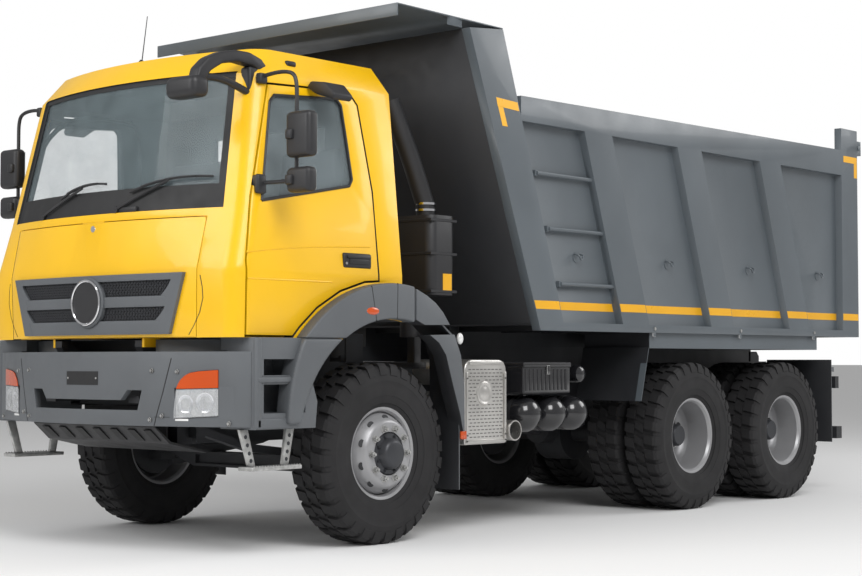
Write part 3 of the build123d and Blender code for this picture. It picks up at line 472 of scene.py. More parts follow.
nuts = {"circle": 0.1535, "count": 10, "size": 0.0165, "length": 0.024}
frontWheel = {"nutFace": 0.165, "caps": {"face": 0.172, "circle": 0.108, "count": 8, "size": 0.008, "length": 0.008},
              "holes": {"face": 0.1335, "circle": 0.2165, "lean": 38, "size": 0.0245}}
rearWheel = {"nutFace": 0.014, "caps": {"face": 0.085, "circle": 0.093, "count": 10, "size": 0.007, "length": 0.007},
             "holes": {"face": 0.0265, "circle": 0.213, "lean": -42, "size": 0.0235}}
wheelFinishes = ["wheelSilver", "hubDark", "bodyDark", "galvanised"]


def addNuts(bm, centre, side, face, circle, count, size, length, index):
    # bolts on a circle, each with its washer and a stud's end
    for k in range(count):
        turn = 2 * math.pi * (k + 0.5) / count
        foot = centre + Vector((circle * math.sin(turn), side * face, circle * math.cos(turn)))
        for reach, radius, sides in ((length, size, 6), (length * 1.5, size * 0.55, 8), (0.004, size * 1.35, 16)):
            addStud(bm, foot, (0, side * reach, 0), radius, sides, index)


def addHandHoles(bm, centre, side, face, circle, lean, size, count=10, index=2):
    # dark ovals on the cone of the disc: painted shade where its hand holes open
    lean = math.radians(lean)
    for k in range(count):
        turn = 2 * math.pi * k / count
        out = Vector((math.sin(turn), 0, math.cos(turn)))
        normal = (out * math.sin(lean) + Vector((0, side * math.cos(lean), 0))).normalized()
        foot = centre + out * circle + Vector((0, side * face, 0)) + normal * 0.0005
        along = out.cross(normal).normalized()
        turned = Matrix((along, normal.cross(along).normalized(), normal)).transposed().to_4x4()
        made = bmesh.ops.create_cone(bm, cap_ends=True, segments=20, radius1=size, radius2=size * 0.96, depth=0.003,
                                     matrix=Matrix.Translation(foot) @ turned @ Matrix.Diagonal((1.0, 0.72, 1, 1)))
        for flat in {flat for vert in made["verts"] for flat in vert.link_faces}:
            flat.material_index = index


def wheelPieces(tyresNode, wheelsNode, body, sign, wheel, shifts, discs, hub):
    # the tread and the disc of one wheel, or of a pair side by side
    middle = sum(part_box(tyresNode), Vector()) / 2
    bm = bmesh.new()
    for shift in shifts:
        addTyre(bm, middle + Vector((0, shift, 0)))
    finished(bm, tyresNode + "_tread", body, "tyreRubber", "tyre", tyresNode, sharp=28)
    bm = bmesh.new()
    for shift in shifts:
        addLathe(bm, outward(rimLoop, 1, shift), middle, 96)
    for disc, side in discs:
        addLathe(bm, outward(disc, side), middle, 80)
    addLathe(bm, outward(hub, sign), middle, 64, 1)
    addNuts(bm, middle, sign, wheel["nutFace"], **nuts, index=3)
    addNuts(bm, middle, sign, **wheel["caps"], index=1)
    addHandHoles(bm, middle, sign, **wheel["holes"])
    finished(bm, wheelsNode + "_disc", body, wheelFinishes, "wheel_silver", wheelsNode)


for side, sign in sides:
    wheelPieces(f"front_tyre_{side}", f"front_wheel_{side}", f"wheel_front_{side}", sign, frontWheel, (0,),
                [(frontDisc, sign)], frontHub)
    for axle in ("first", "second"):
        wheelPieces(f"{axle}_rear_tyres_{side}", f"{axle}_rear_wheels_{side}", f"wheels_{axle}_rear_{side}", sign,
                    rearWheel, (-tyre["twinShift"], tyre["twinShift"]), [(rearDisc, 1), (rearDisc, -1)], rearHub)

print("cab")
softNodes = {
    # crease radius and rounding steps of each node that is pressed or moulded
    "cab_shell": ("yellowPaint", 0.016, 3, "yellow_paint"), "front_flap": ("yellowPaint", 0.003, 2, "yellow_paint"),
    "door_left": ("yellowPaint", 0.005, 2, "yellow_paint"), "door_right": ("yellowPaint", 0.005, 2, "yellow_paint"),
    "bumper": ("greyPlastic", 0.011, 3, "grey_plastic"), "fenders": ("greyPlastic", 0.012, 3, "grey_plastic"),
    "bed_sides": ("bodyGrey", 0.006, 2, "body_grey"), "canopy": ("bodyGrey", 0.003, 2, "body_grey"),
    "tailgate": ("bodyGrey", 0.004, 2, "body_grey"), "mudguards": ("greyPlastic", 0.004, 2, "black_plastic"),
    "fuel_tank": ("aluminium", 0.008, 2, "bright_aluminium"),
    # the bulkhead is drawn in near black bodyDark: painted shade where it stands behind the cab under the canopy
    "air_cleaner": ("blackPlastic", 0.01, 2, "black_plastic"), "bulkhead": ("bodyDark", 0.002, 1, "body_grey"),
}
cabMiddle, sillHeight = at(0.45, 0, 2.1), 1.45
for node, (finish, width, segments, slotName) in softNodes.items():
    piece = softened(node, finish, width, segments, slotName)
    if node in ("cab_shell", "door_left", "door_right"):  # bare plastic on the inner faces, and the same dark finish on the faces turned down below the sill
        piece.data.materials.append(materials["interior"])
        for polygon in piece.data.polygons:
            facing = polygon.normal.dot((polygon.center - cabMiddle).normalized())
            if facing < 0.1 or (polygon.normal.z < -0.6 and polygon.center.z < sillHeight):
                polygon.material_index = 1
    if node == "mudguards":  # darker on the faces turned toward the wheel
        piece.data.materials.append(materials["bodyDark"])
        for polygon in piece.data.polygons:
            towardWheel = at(0, polygon.center.y, axleHeight) - polygon.center
            if polygon.normal.dot(towardWheel.normalized()) > 0.3:
                polygon.material_index = 1

mirror = {"tubeX": 0.9, "tubeY": 1.29, "tubeRadius": 0.0115, "rim": 0.018,
          "housings": (((0.868, 1.245, 2.215), (0.952, 1.435, 2.47)), ((0.868, 1.25, 2.02), (0.952, 1.43, 2.16)))}


def mirrorPieces(side, sign):
    # two housings on a bent tube, and the kerb mirror over the door
    bm = bmesh.new()
    tubeX, tubeY = mirror["tubeX"], mirror["tubeY"]
    path = [(0.92, 1.005, 2.69), (tubeX, 1.1, 2.712), (tubeX, 1.24, 2.705), (tubeX, tubeY, 2.66),
            (tubeX, tubeY, 2.5), (tubeX, tubeY, 2.3), (tubeX, tubeY, 2.14), (tubeX, 1.285, 2.1), (0.93, 1.2, 2.083),
            (1.0, 1.075, 2.083)]
    addTube(bm, placed(path), mirror["tubeRadius"], 16)
    rim = mirror["rim"]
    for low, high in mirror["housings"]:
        z = (low[2] + high[2]) / 2
        glassLow = (low[0] - 0.0015, low[1] + rim, low[2] + rim)
        glassHigh = (low[0] + 0.004, high[1] - rim, high[2] - rim)
        addBoxes(bm, (low, high, 0.03, 5), (glassLow, glassHigh, 0, 1, 1),
                 ((0.885, 1.265, z - 0.028), (0.972, 1.315, z + 0.028), 0.01, 3))
        addRod(bm, at(tubeX, tubeY, z - 0.045), at(tubeX, tubeY, z + 0.045), 0.019)
    hood = [(1.03, 2.675), (1.06, 2.71), (1.19, 2.69), (1.262, 2.615), (1.24, 2.585), (1.1, 2.632)]
    addPrism(bm, [at(0.41, y, z) for y, z in hood], (0.16, 0, 0), 0, 0.014, 4)
    addTube(bm, placed([(0.49, 1.03, 2.66), (0.49, 1.05, 2.672), (0.49, 1.09, 2.675)]), 0.016)
    addBoxes(bm, ((0.885, 1.0, 2.655), (0.945, 1.045, 2.715), 0.012, 3),
             ((0.965, 1.055, 2.055), (1.03, 1.105, 2.125), 0.014, 3))
    if sign < 0:
        toOtherSide(bm, bm.verts, bm.faces)
    finished(bm, f"mirrors_{side}_housings", f"door_{side}", ["blackPlastic", "mirrorGlass"], "black_plastic",
             f"mirrors_{side}")


for side, sign in sides:
    mirrorPieces(side, sign)

bm = bmesh.new()  # the kerb mirror on its arch over the screen's corner
archTop = [(1.375, 2.62), (1.35, 2.7), (1.28, 2.765), (1.18, 2.81), (1.07, 2.832), (0.97, 2.832), (0.88, 2.805),
           (0.82, 2.75)]
archUnder = [(0.87, 2.715), (0.95, 2.758), (1.06, 2.768), (1.17, 2.745), (1.26, 2.69), (1.31, 2.62)]
addSlab(bm, 0.905, archTop + archUnder, 0.085, 0.016, 4)
archTube = [(0.95, 0.962, 2.6), (1.1, 0.965, 2.65), (1.25, 0.945, 2.67), (1.35, 0.925, 2.645)]
addTube(bm, placed(archTube), 0.021, 16)
addBoxes(bm, ((0.885, 0.905, 2.565), (0.975, 0.985, 2.755), 0.018, 3),
         ((1.305, 0.785, 2.53), (1.435, 1.035, 2.65), 0.042, 6),
         ((1.3035, 0.82, 2.545), (1.308, 1.0, 2.635), 0, 1, 1))
finished(bm, "front_mirror_housing", "cab", ["blackPlastic", "mirrorGlass"], "black_plastic", "front_mirror")

cabRows = [(1.22, 1.3, 1.19, 1.13), (1.6, 1.31, 1.2, 1.134), (1.935, 1.29, 1.098, 1.105), (2.72, 1.125, 0.935, 1.022),
           (2.88, 1.0, 0.83, 0.93)]  # height, front on the middle line, front at the corner, half width


def between(rows, z):
    # the values that belong to a height, from rows that start with theirs
    for below, above in zip(rows, rows[1:]):
        if z <= above[0]:
            break
    share = (z - below[0]) / (above[0] - below[0])
    return [a + (b - a) * share for a, b in zip(below[1:], above[1:])]


def noseX(z, y):
    # front of the cab's skin at a height and a distance off the middle
    middle, corner, half = between(cabRows, z)
    drop = middle - corner
    radius = (half * half + drop * drop) / (2 * drop)
    return middle - radius + math.sqrt(max(0.0, radius * radius - y * y))


def addFrontPatch(bm, outline, lift, thick, index=0, steps=24):
    # thin plate following the cab's front, between two edges given as (z, one y, other y) rows
    rows = [[(z, start + (end - start) * k / steps) for k in range(steps + 1)] for z, start, end in outline]
    outer, inner = [[[at(noseX(z, y) + reach, y, z) for z, y in row] for row in rows]
                    for reach in (lift, lift - thick)]
    addPlate(bm, outer, inner, index)


print("screen surround and wipers")
screen = {"low": 1.945, "band": 2.085, "top": 2.735, "halfLow": 0.958, "halfTop": 0.884, "inset": -0.011,
          "thick": 0.003, "edge": 0.05}


def screenHalf(z):
    share = (z - screen["low"]) / (screen["top"] - screen["low"])
    return screen["halfLow"] + (screen["halfTop"] - screen["halfLow"]) * share


bm = bmesh.new()  # black band printed round the screen's edge
low, high, inset, thick = screen["low"] + 0.002, screen["top"] - 0.002, screen["inset"], screen["thick"]
for heights in ((low, 1.99, 2.04, screen["band"]), (2.7, 2.715, high)):
    addFrontPatch(bm, [(z, -screenHalf(z), screenHalf(z)) for z in heights], inset, thick, steps=40)
rows = [low + k * (high - low) / 12 for k in range(13)]
for sign in (1, -1):
    edges = [(z, sign * (screenHalf(z) - screen["edge"]), sign * screenHalf(z)) for z in rows]
    addFrontPatch(bm, edges, inset + 0.0006, thick, steps=6)
finished(bm, "screen_surround", "cab", "rubberSeal", "black_plastic")

bm = bmesh.new()  # two arms, each with a bowed blade
wipers = {"pairs": (((0.19, 1.965), (0.575, 2.118), 0.29), ((-0.56, 1.965), (-0.15, 2.112), 0.22)), "rise": 0.062,
          "bow": 0.03, "low": 2.062, "arm": 0.008, "blade": 0.0075}
for pivot, tip, half in wipers["pairs"]:
    foot = at(noseX(pivot[1], pivot[0]) - 0.012, *pivot)
    end = at(noseX(tip[1], tip[0]) - 0.004, *tip)
    addStud(bm, foot - Vector((0.02, 0, 0)), (0.042, 0, 0), 0.02)
    addTube(bm, [foot + Vector((0.018, 0, 0)), foot * 0.6 + end * 0.4 + Vector((0.022, 0, 0.006)),
                 end + Vector((0.016, 0, 0))], wipers["arm"], 10)
    bladeRow = []
    for k in range(13):
        share = k / 12
        y = tip[0] - half + 2 * half * share
        z = wipers["low"] + wipers["rise"] * share + wipers["bow"] * (1 - (2 * share - 1) ** 2)
        bladeRow.append(at(noseX(z, y) + 0.006, y, z))
    addTube(bm, bladeRow, wipers["blade"], 8)
    addTube(bm, [point + Vector((0.009, 0, 0.001)) for point in bladeRow[2:11]], 0.006, 8)
    addBox(bm, foot + Vector((-0.025, -0.03, -0.02)), foot + Vector((0.01, 0.17, 0.012)), 0.008)
finished(bm, "wipers", "cab", "blackPlastic", "black_plastic")

print("grille")
grille = {"low": 1.24, "high": 1.584, "halfLow": 0.667, "halfHigh": 0.779,
          "openings": ((1.318, 1.396), (1.456, 1.546)), "proud": 0.022, "deep": 0.024,
          "badge": 0.148, "badgeHeight": 1.428, "badgeFront": 1.334, "ringFront": 1.3425}
weave = {"rowPitch": 0.0155, "pitch": 0.026, "start": 0.126, "lean": 35, "halfLength": 0.0135,
         "halfWide": 0.0022, "thick": 0.006}


def grilleHalf(z):
    share = (z - grille["low"]) / (grille["high"] - grille["low"])
    return grille["halfLow"] + (grille["halfHigh"] - grille["halfLow"]) * share


def openingEnd(z):
    # the openings' outer ends lean in toward their lower edges
    for low, high in grille["openings"]:
        if low <= z <= high:
            return grilleHalf(z) - 0.076 - 0.05 * (1 - (z - low) / (high - low)) ** 1.6
    return grilleHalf(z) - 0.09


bm = bmesh.new()  # bars, ends and the round badge plate
edges = [grille["low"], *grille["openings"][0], *grille["openings"][1], grille["high"]]
for low, high in zip(edges[::2], edges[1::2]):  # the bars below, between and above the openings
    rows = [low + (high - low) * k / 3 for k in range(4)]
    addFrontPatch(bm, [(z, 0.03 - grilleHalf(z), grilleHalf(z) - 0.03) for z in rows], grille["proud"], grille["deep"],
                  steps=36)
rows = [grille["low"] + (grille["high"] - grille["low"]) * k / 22 for k in range(23)]
rows = sorted(rows + [edge + step for edge in edges[1:-1] for step in (-0.0004, 0.0004)])
for sign in (1, -1):
    addFrontPatch(bm, [(z, sign * openingEnd(z), sign * grilleHalf(z)) for z in rows], grille["proud"] + 0.001,
                  grille["deep"] + 0.001, steps=4)
creases = [edge for edge in bm.edges if edge.is_manifold and edge.calc_face_angle() > math.radians(60)]
rounded(bm, creases, 0.0065, 3, clamped=True)
badge = grille["badge"]
addTurned(bm, [(-0.03, 0.0), (-0.03, badge), (0.0, badge), (0.006, badge - 0.006), (0.0065, 0.128), (0.0, 0.12),
               (0.0, 0.0)], at(grille["badgeFront"], 0, grille["badgeHeight"]), 64)
finished(bm, "grille_frame", "front_flap", "greyPlastic", "grey_plastic", "grille")

bm = bmesh.new()  # crossed wires behind the openings, over black sheets of painted shade
lean = math.radians(weave["lean"])
for low, high in grille["openings"]:
    ends = ((low - 0.004, low), (high + 0.004, high))
    # a black sheet across the opening just behind the wires: painted shade for the dark engine bay behind the grille
    addFrontPatch(bm, [(z, 0.04 - grilleHalf(edge), grilleHalf(edge) - 0.04) for z, edge in ends], 0.004, 0.003, 0, 30)
    rowCount = max(2, round((high - low) / weave["rowPitch"]))
    for row in range(rowCount):
        z = low + (row + 0.5) * (high - low) / rowCount
        shift = weave["pitch"] / 2 if row % 2 else 0
        count = round((openingEnd(z) - 0.12) / weave["pitch"])
        for y in [sign * (weave["start"] + k * weave["pitch"] + shift) for sign in (1, -1) for k in range(count)]:
            if abs(y) + 0.008 > openingEnd(z):
                continue
            middle = at(noseX(z, y) + 0.003, y, z)
            for turn in (lean, -lean):  # two bars cross at each place
                along = Vector((0, math.cos(turn), math.sin(turn))) * weave["halfLength"]
                across = Vector((0, -math.sin(turn), math.cos(turn))) * weave["halfWide"]
                corners = [middle - along - across, middle + along - across, middle + along + across,
                           middle - along + across]
                addPrism(bm, corners, (weave["thick"], 0, 0), 1)
finished(bm, "grille_weave", "front_flap", ["rubberSeal", "hubDark"], "black_plastic", "grille_mesh")

bm = bmesh.new()
ringProfile = [(0.0, 0.1205), (0.0, 0.134), (0.006, 0.1345), (0.0095, 0.13), (0.0095, 0.125), (0.006, 0.1205)]
dishProfile = [(-0.004, 0), (-0.004, 0.12), (0.0005, 0.12), (0.0015, 0.1), (0.002, 0)]
for index, profile in enumerate((ringProfile, dishProfile)):
    addTurned(bm, profile, at(grille["ringFront"], 0, grille["badgeHeight"]), 72, index)
finished(bm, "grille_ring", "front_flap", ["chrome", "blackPlastic"], "bright_steel")

print("bumper and lamps")
bumper = {"half": 1.1, "nose": 1.385, "end": 1.138}


def bumperX(y):
    # the bumper's front line at a distance off the middle
    drop = bumper["nose"] - bumper["end"]
    radius = (bumper["half"] ** 2 + drop * drop) / (2 * drop)
    return bumper["nose"] - radius + math.sqrt(radius * radius - min(abs(y), bumper["half"]) ** 2)


def addBumperPatch(bm, columns, front, thick, index=0):
    # plate following the bumper, from columns of (y, low z, high z)
    outer, inner = [[[at(bumperX(y) + reach, y, z) for z in (low, high)] for y, low, high in columns]
                    for reach in (front, front - thick)]
    addPlate(bm, outer, inner, index)


lampTop = [(0.716, 0.773), (0.734, 0.934), (0.745, 0.96), (0.76, 0.984), (0.785, 1.006), (0.815, 1.023),
           (0.87, 1.032), (0.982, 1.04)]
lampColumns = [0.7175, 0.7205, 0.724, 0.728, 0.732, 0.736, 0.742, 0.75, 0.758, 0.77, 0.785, 0.8, 0.82, 0.845, 0.87,
               0.9, 0.93, 0.96, 0.98]
bowls = {"rows": ((0.79, 0.852, 0.05), (0.905, 0.86, 0.056)), "arcRadius": 2.573}
lampBars = {"start": 0.745, "pitch": 0.0745, "half": 0.003}


def lampRow(y):
    # heights of the lamp's floor, its split and its leaning, curved top at a distance off the middle
    floor = 0.771 + (y - 0.718) * 0.056
    split = 0.934 + (y - 0.735) * 0.028
    top = between(lampTop, y)[0]
    return floor, min(split, max(top, floor + 0.004)), max(top, floor + 0.006)


def addLampPatch(bm, columns, lowEdge, lowShift, highEdge, highShift, front, thick, index=0):
    # part of the lamp's face between two of its three edges
    rows = [(y, lampRow(y)[lowEdge] + lowShift, lampRow(y)[highEdge] + highShift) for y in columns]
    addBumperPatch(bm, rows, front, thick, index)


bm = bmesh.new()
addLampPatch(bm, lampColumns, 0, -0.004, 2, 0.003, 0.0012, 0.003)
addLampPatch(bm, lampColumns[4:], 0, 0.004, 1, -0.007, 0.0016, 0.002, 4)
addLampPatch(bm, lampColumns[1:], 0, 0, 1, -0.003, 0.0075, 0.004, 1)
for y, z, size in bowls["rows"]:
    bowl = [(0, 0), (0, size * 0.45), (0.002, size * 0.8), (0.0045, size), (0.003, size), (-0.002, size * 0.8),
            (-0.003, 0)]
    slew = math.degrees(math.asin(y / bowls["arcRadius"])) - 90
    addTurned(bm, bowl, at(bumperX(y) + 0.0002, y, z), 40, 2, slew)
for k in range(4):  # bright bars between the bowls
    y = lampBars["start"] + k * lampBars["pitch"]
    low, split, top = lampRow(y)
    front, half = bumperX(y), lampBars["half"]
    addBoxes(bm, ((front + 0.001, y - half, low + 0.006), (front + 0.0038, y + half, split - 0.006), 0, 1, 2))
addBumperPatch(bm, [(0.979 + k * 0.011, 0.767, 0.948) for k in range(9)], 0.0008, 0.003, 3)
mirrored(bm)
finished(bm, "headlamp_units", "chassis", ["blackPlastic", "lampGlass", "chrome", "greyPlastic", "galvanised"],
         "lamp_clear", "headlamps")

bm = bmesh.new()
addLampPatch(bm, lampColumns[5:], 1, 0.001, 2, 0, 0.0078, 0.0045)
addLampPatch(bm, lampColumns[8:], 1, 0.002, 2, -0.006, 0.0035, 0.002)
mirrored(bm)
finished(bm, "indicator_lenses", "chassis", "orangeLens", "lamp_orange", "indicators")

bm = bmesh.new()
addBumperPatch(bm, [(0.725 + 0.01 * k, 0.757, 0.769) for k in range(9)], 0.0012, 0.004)
mirrored(bm)
finished(bm, "bumper_reflectors", "chassis", "clearLens", "lamp_clear")

bm = bmesh.new()  # the bumper's joints, bolts and number plate
seam = [(0.697, 1.106), (0.684, 1.06), (0.645, 0.92), (0.607, 0.8), (0.587, 0.7275)]  # (y, z) down the bumper
seamHalf = 0.003
for top, low in zip(seam, seam[1:]):
    corners = [at(bumperX(y) + 0.0008, y + shift, z) for (y, z), shift in
               ((top, -seamHalf), (top, seamHalf), (low, seamHalf), (low, -seamHalf))]
    addPrism(bm, corners, (-0.004, 0, 0))
addBumperPatch(bm, [(0.587 + k * 0.0515, 0.775, 0.778) for k in range(3)], 0.0008, 0.004)
for y, z in ((0.57, 1.035), (0.735, 1.03), (0.64, 0.784), (1.04, 0.745), (0.56, 0.76)):
    foot = at(bumperX(y) - 0.004, y, z)
    addStud(bm, foot, (0.009, 0, 0), 0.014, 20, 1, bevel=0.002)
    addStud(bm, foot, (0.015, 0, 0), 0.0085, 6, 1)
mirrored(bm)
addBumperPatch(bm, [(-0.12 + k * 0.0285, 0.952, 1.03) for k in range(11)], 0.002, 0.006)
for y in (-0.105, 0.15):
    addStud(bm, at(bumperX(y) + 0.001, y, 0.991), (0.004, 0, 0), 0.006, 12, 1)
finished(bm, "bumper_seams_bolts_and_plate", "chassis", ["rubberSeal", "galvanised"], "black_plastic")

bm = bmesh.new()
# dark strips on the skid plate: painted shade where its slots open
slot = {"low": (1.2, 0.6362), "high": (1.278, 0.7005), "half": 0.03}
for middle in (-0.46, -0.3, -0.14, 0.02, 0.18, 0.34, 0.48):
    corners = [(slot["low"], -1), (slot["low"], 1), (slot["high"], 1), (slot["high"], -1)]
    addPrism(bm, [at(x, middle + side * slot["half"], z) for (x, z), side in corners], (0.003, 0, -0.0035))
finished(bm, "skid_plate_slots", "chassis", "rubberSeal", "black_plastic")

print("cab details")


def onSide(x, z, lift=0.0):
    # a place on the skin of the cab's side
    return at(x, between(cabRows, z)[2] + lift, z)


windowOutline = [(0.985, 1.985), (0.93, 2.26), (0.87, 2.56), (0.83, 2.6), (0.575, 2.6175), (0.32, 2.635),
                 (0.285, 2.6), (0.262, 2.4), (0.238, 2.16), (0.265, 2.12), (0.6, 2.057), (0.985, 1.985)]
handle = {"cup": ((0.12, 1.1, 1.632), (0.362, 1.1375, 1.722)), "hollow": ((0.15, 1.13, 1.655), (0.315, 1.141, 1.695)),
          "grip": ((0.135, 1.13, 1.69), (0.335, 1.147, 1.708)), "lock": (0.34, 1.135, 1.66)}
mirrorFoot = ((0.96, 1.085, 2.02), (1.035, 1.12, 2.13))
pressedLines = {"straight": ((1.12, 1.545), (0.46, 1.545)), "bent": ((1.12, 1.69), (0.713, 1.747), (0.12, 1.766))}
for side, sign in sides:
    bm = bmesh.new()  # rubber round the window, the pull handle and the pressed lines below it
    for start, end in zip(windowOutline, windowOutline[1:]):
        stops = [[p + (q - p) * k / 4 for p, q in zip(start, end)] for k in range(5)]
        for one, other in zip(stops, stops[1:]):
            addRod(bm, onSide(*one), onSide(*other), 0.0085, 8)
    # the hollow box behind the grip is darker rubber: painted shade in the handle's recess
    addBoxes(bm, (*handle["cup"], 0.014, 3), (*handle["hollow"], 0.005, 2, 1), (*handle["grip"], 0.006),
             (*mirrorFoot, 0.016, 3))
    addStud(bm, at(*handle["lock"]), (0, 0.007, 0), 0.008, 16, 2)
    addRod(bm, *[onSide(x, z, -0.002) for x, z in pressedLines["straight"]], 0.0055, 8, 3)
    addTube(bm, [onSide(x, z, -0.002) for x, z in pressedLines["bent"]], 0.006, 8, 3)
    if sign < 0:
        toOtherSide(bm, bm.verts, bm.faces)
    finished(bm, f"door_{side}_seal_and_handle", f"door_{side}",
             ["blackPlastic", "rubberSeal", "galvanised", "yellowPaint"], "black_plastic")

bm = bmesh.new()  # dark rubber behind the door's gaps
doorEdge = [(1.124, 1.3), (1.124, 1.64), (1.054, 2.0), (0.876, 2.662), (0.213, 2.694), (0.141, 2.618), (0.066, 2.1),
            (0.056, 1.6)]
addTube(bm, [onSide(x, z, -0.05) for x, z in doorEdge], 0.017, 10)
addBoxes(bm, ((0.78, 0.964, 2.635), (0.905, 0.992, 2.7), 0.006))
mirrored(bm)
finished(bm, "door_weather_strips", "cab", "rubberSeal", "black_plastic")


def addPebble(bm, place, size):
    # rounded lens with three half sizes
    bmesh.ops.create_uvsphere(bm, u_segments=32, v_segments=16, radius=1.0)
    bmesh.ops.transform(bm, matrix=Matrix.Translation(place) @ Matrix.Diagonal((*size, 1)), verts=bm.verts)


bm = bmesh.new()
addPebble(bm, at(0.2, 1.2195, 1.382), (0.054, 0.0065, 0.022))
mirrored(bm)
finished(bm, "side_marker_lamps", "cab", "orangeLens", "lamp_orange")

bm = bmesh.new()  # joints between the fender's parts, drawn as thin strips
arch = {"inner": 0.801, "outer": 1.0135, "face": 1.2206, "seamHalf": 0.0025, "seamTurns": (78, 91)}
for turn in arch["seamTurns"]:
    angle = math.radians(turn)
    out = Vector((math.cos(angle), 0, math.sin(angle)))
    wide = Vector((math.sin(angle), 0, -math.cos(angle))) * arch["seamHalf"]
    corners = ((arch["inner"], -1), (arch["outer"], -1), (arch["outer"], 1), (arch["inner"], 1))
    addPrism(bm, [at(0, arch["face"], axleHeight) + out * reach + wide * side for reach, side in corners],
             (0, -0.004, 0))
mirrored(bm)
finished(bm, "fender_seams", "cab", "rubberSeal", "grey_plastic")

roof = {"marker": ((0.6, 0.935, 2.79), (0.68, 0.985, 2.826)), "lens": ((0.615, 0.978, 2.798), (0.665, 0.99, 2.816)),
        "base": ((0.97, 0.02, 2.865), (0.955, 0.02, 2.895)), "antenna": ((0.955, 0.02, 2.89), (0.915, 0.02, 3.17))}
bm = bmesh.new()
addBoxes(bm, (*roof["marker"], 0.014, 4), (*roof["lens"], 0.004))
mirrored(bm)
addRod(bm, *placed(roof["base"]), 0.022, endRadius=0.012)
addRod(bm, *placed(roof["antenna"]), 0.0035, 10, endRadius=0.0025)
finished(bm, "roof_markers_and_antenna", "cab", "blackPlastic", "black_plastic")

bm = bmesh.new()  # the joint of each corner panel beside the grille
cornerSeam = [(1.566, 0.879), (1.545, 0.884), (1.5, 0.893), (1.44, 0.897), (1.36, 0.873), (1.29, 0.832),
              (1.236, 0.792)]
for sign in (1, -1):
    addFrontPatch(bm, [(z, sign * y, sign * (y + 0.005)) for z, y in cornerSeam], 0.0008, 0.003, 0, 1)
finished(bm, "corner_panel_seams", "cab", "rubberSeal", "yellow_paint")

print("body markings and fittings")
tape = {"low": 1.43, "high": 1.485, "thick": 0.0012, "gap": 0.006, "postFace": 1.245, "panelFace": 1.185,
        "ribs": (-1.886, -3.04, -4.211), "ribWide": 0.325, "rearPost": -5.549, "rearEnd": -5.83}


def addTape(bm, y, *corners):
    addSlab(bm, y, corners, tape["thick"])


def postFront(z):
    return -0.66 + 0.383 * (z - 3.18)


def postRear(z):
    return -1.138 - 0.341 * (2.802 - z)


def ribFront(top, z):
    return top + 0.345 * (z - 2.63)


bm = bmesh.new()  # reflecting tape low along the body and at its upper corners
low, high, gap = tape["low"], tape["high"], tape["gap"]
edges = [(line(low), line(high)) for line in (postFront, postRear)]  # x of each edge at the stripe's foot and top
for top in tape["ribs"]:
    rib = ribFront(top, low), ribFront(top, high)
    edges += [rib, (rib[0] - tape["ribWide"], rib[1] - tape["ribWide"])]
edges += [(tape["rearPost"], tape["rearPost"]), (tape["rearEnd"], tape["rearEnd"])]
for k, (front, rear) in enumerate(zip(edges, edges[1:])):
    addTape(bm, tape["panelFace"] if k % 2 else tape["postFace"], (front[0] - gap, low), (front[1] - gap, high),
            (rear[1] + gap, high), (rear[0] + gap, low))
addTape(bm, tape["postFace"], (postFront(2.77) - 0.105, 2.77), (-1.142, 2.76), (-1.16, 2.705),
        (postFront(2.715) - 0.1, 2.715))
addTape(bm, tape["postFace"], (postFront(2.715) - 0.103, 2.715), (postFront(2.715) - 0.155, 2.715),
        (postFront(2.593) - 0.155, 2.593), (postFront(2.593) - 0.103, 2.593))
for front, rear, high, low in ((-5.585, -5.822, 2.815, 2.762), (-5.77, -5.822, 2.762, 2.64)):
    addTape(bm, tape["postFace"], (front, high), (rear, high), (rear, low), (front, low))
mirrored(bm)
finished(bm, "body_marking_tapes", "bed", "stripeYellow", "yellow_paint")

hooks = {"places": (-1.859, -2.978, -4.118, -5.221), "height": 1.79, "plate": 0.036, "wire": 0.006,
         "bow": ((0.03, 0.004, 0.02), (0.03, 0.045, 0.022), (0, 0.048, -0.03), (-0.03, 0.045, 0.022),
                 (-0.03, 0.004, 0.02))}
rungs = {"fronts": ((-1.38, 2.325), (-1.51, 1.965), (-1.64, 1.603)), "length": 0.64, "half": (0.012, 0.02),
         "reach": 0.032}
sillBolts = {"places": (-2.72, -3.9, -5.05), "height": 1.318, "face": 1.2455}
panelFace = tape["panelFace"]
bm = bmesh.new()  # rope hooks, the ends of the rungs and bolts on the body's side
for x in hooks["places"]:
    foot = at(x, panelFace, hooks["height"])
    addStud(bm, foot, (0, 0.004, 0), hooks["plate"], 24)
    addTube(bm, [foot + Vector(point) for point in hooks["bow"]], hooks["wire"], 10)
halfX, halfZ = rungs["half"]
for front, z in rungs["fronts"]:
    for x in (front, front - rungs["length"]):
        addBoxes(bm, ((x - halfX, panelFace, z - halfZ), (x + halfX, panelFace + rungs["reach"], z + halfZ), 0.003, 1))
for x in sillBolts["places"]:
    addStud(bm, at(x, sillBolts["face"], sillBolts["height"]), (0, 0.0075, 0), 0.013, 6, 1)
    addBoxes(bm, ((x - 0.02, 1.236, 1.262), (x + 0.02, 1.244, 1.29), 0.003, 1, 1))
mirrored(bm)
finished(bm, "tarpaulin_hooks", "bed", ["bodyGrey", "galvanised"], "body_grey")

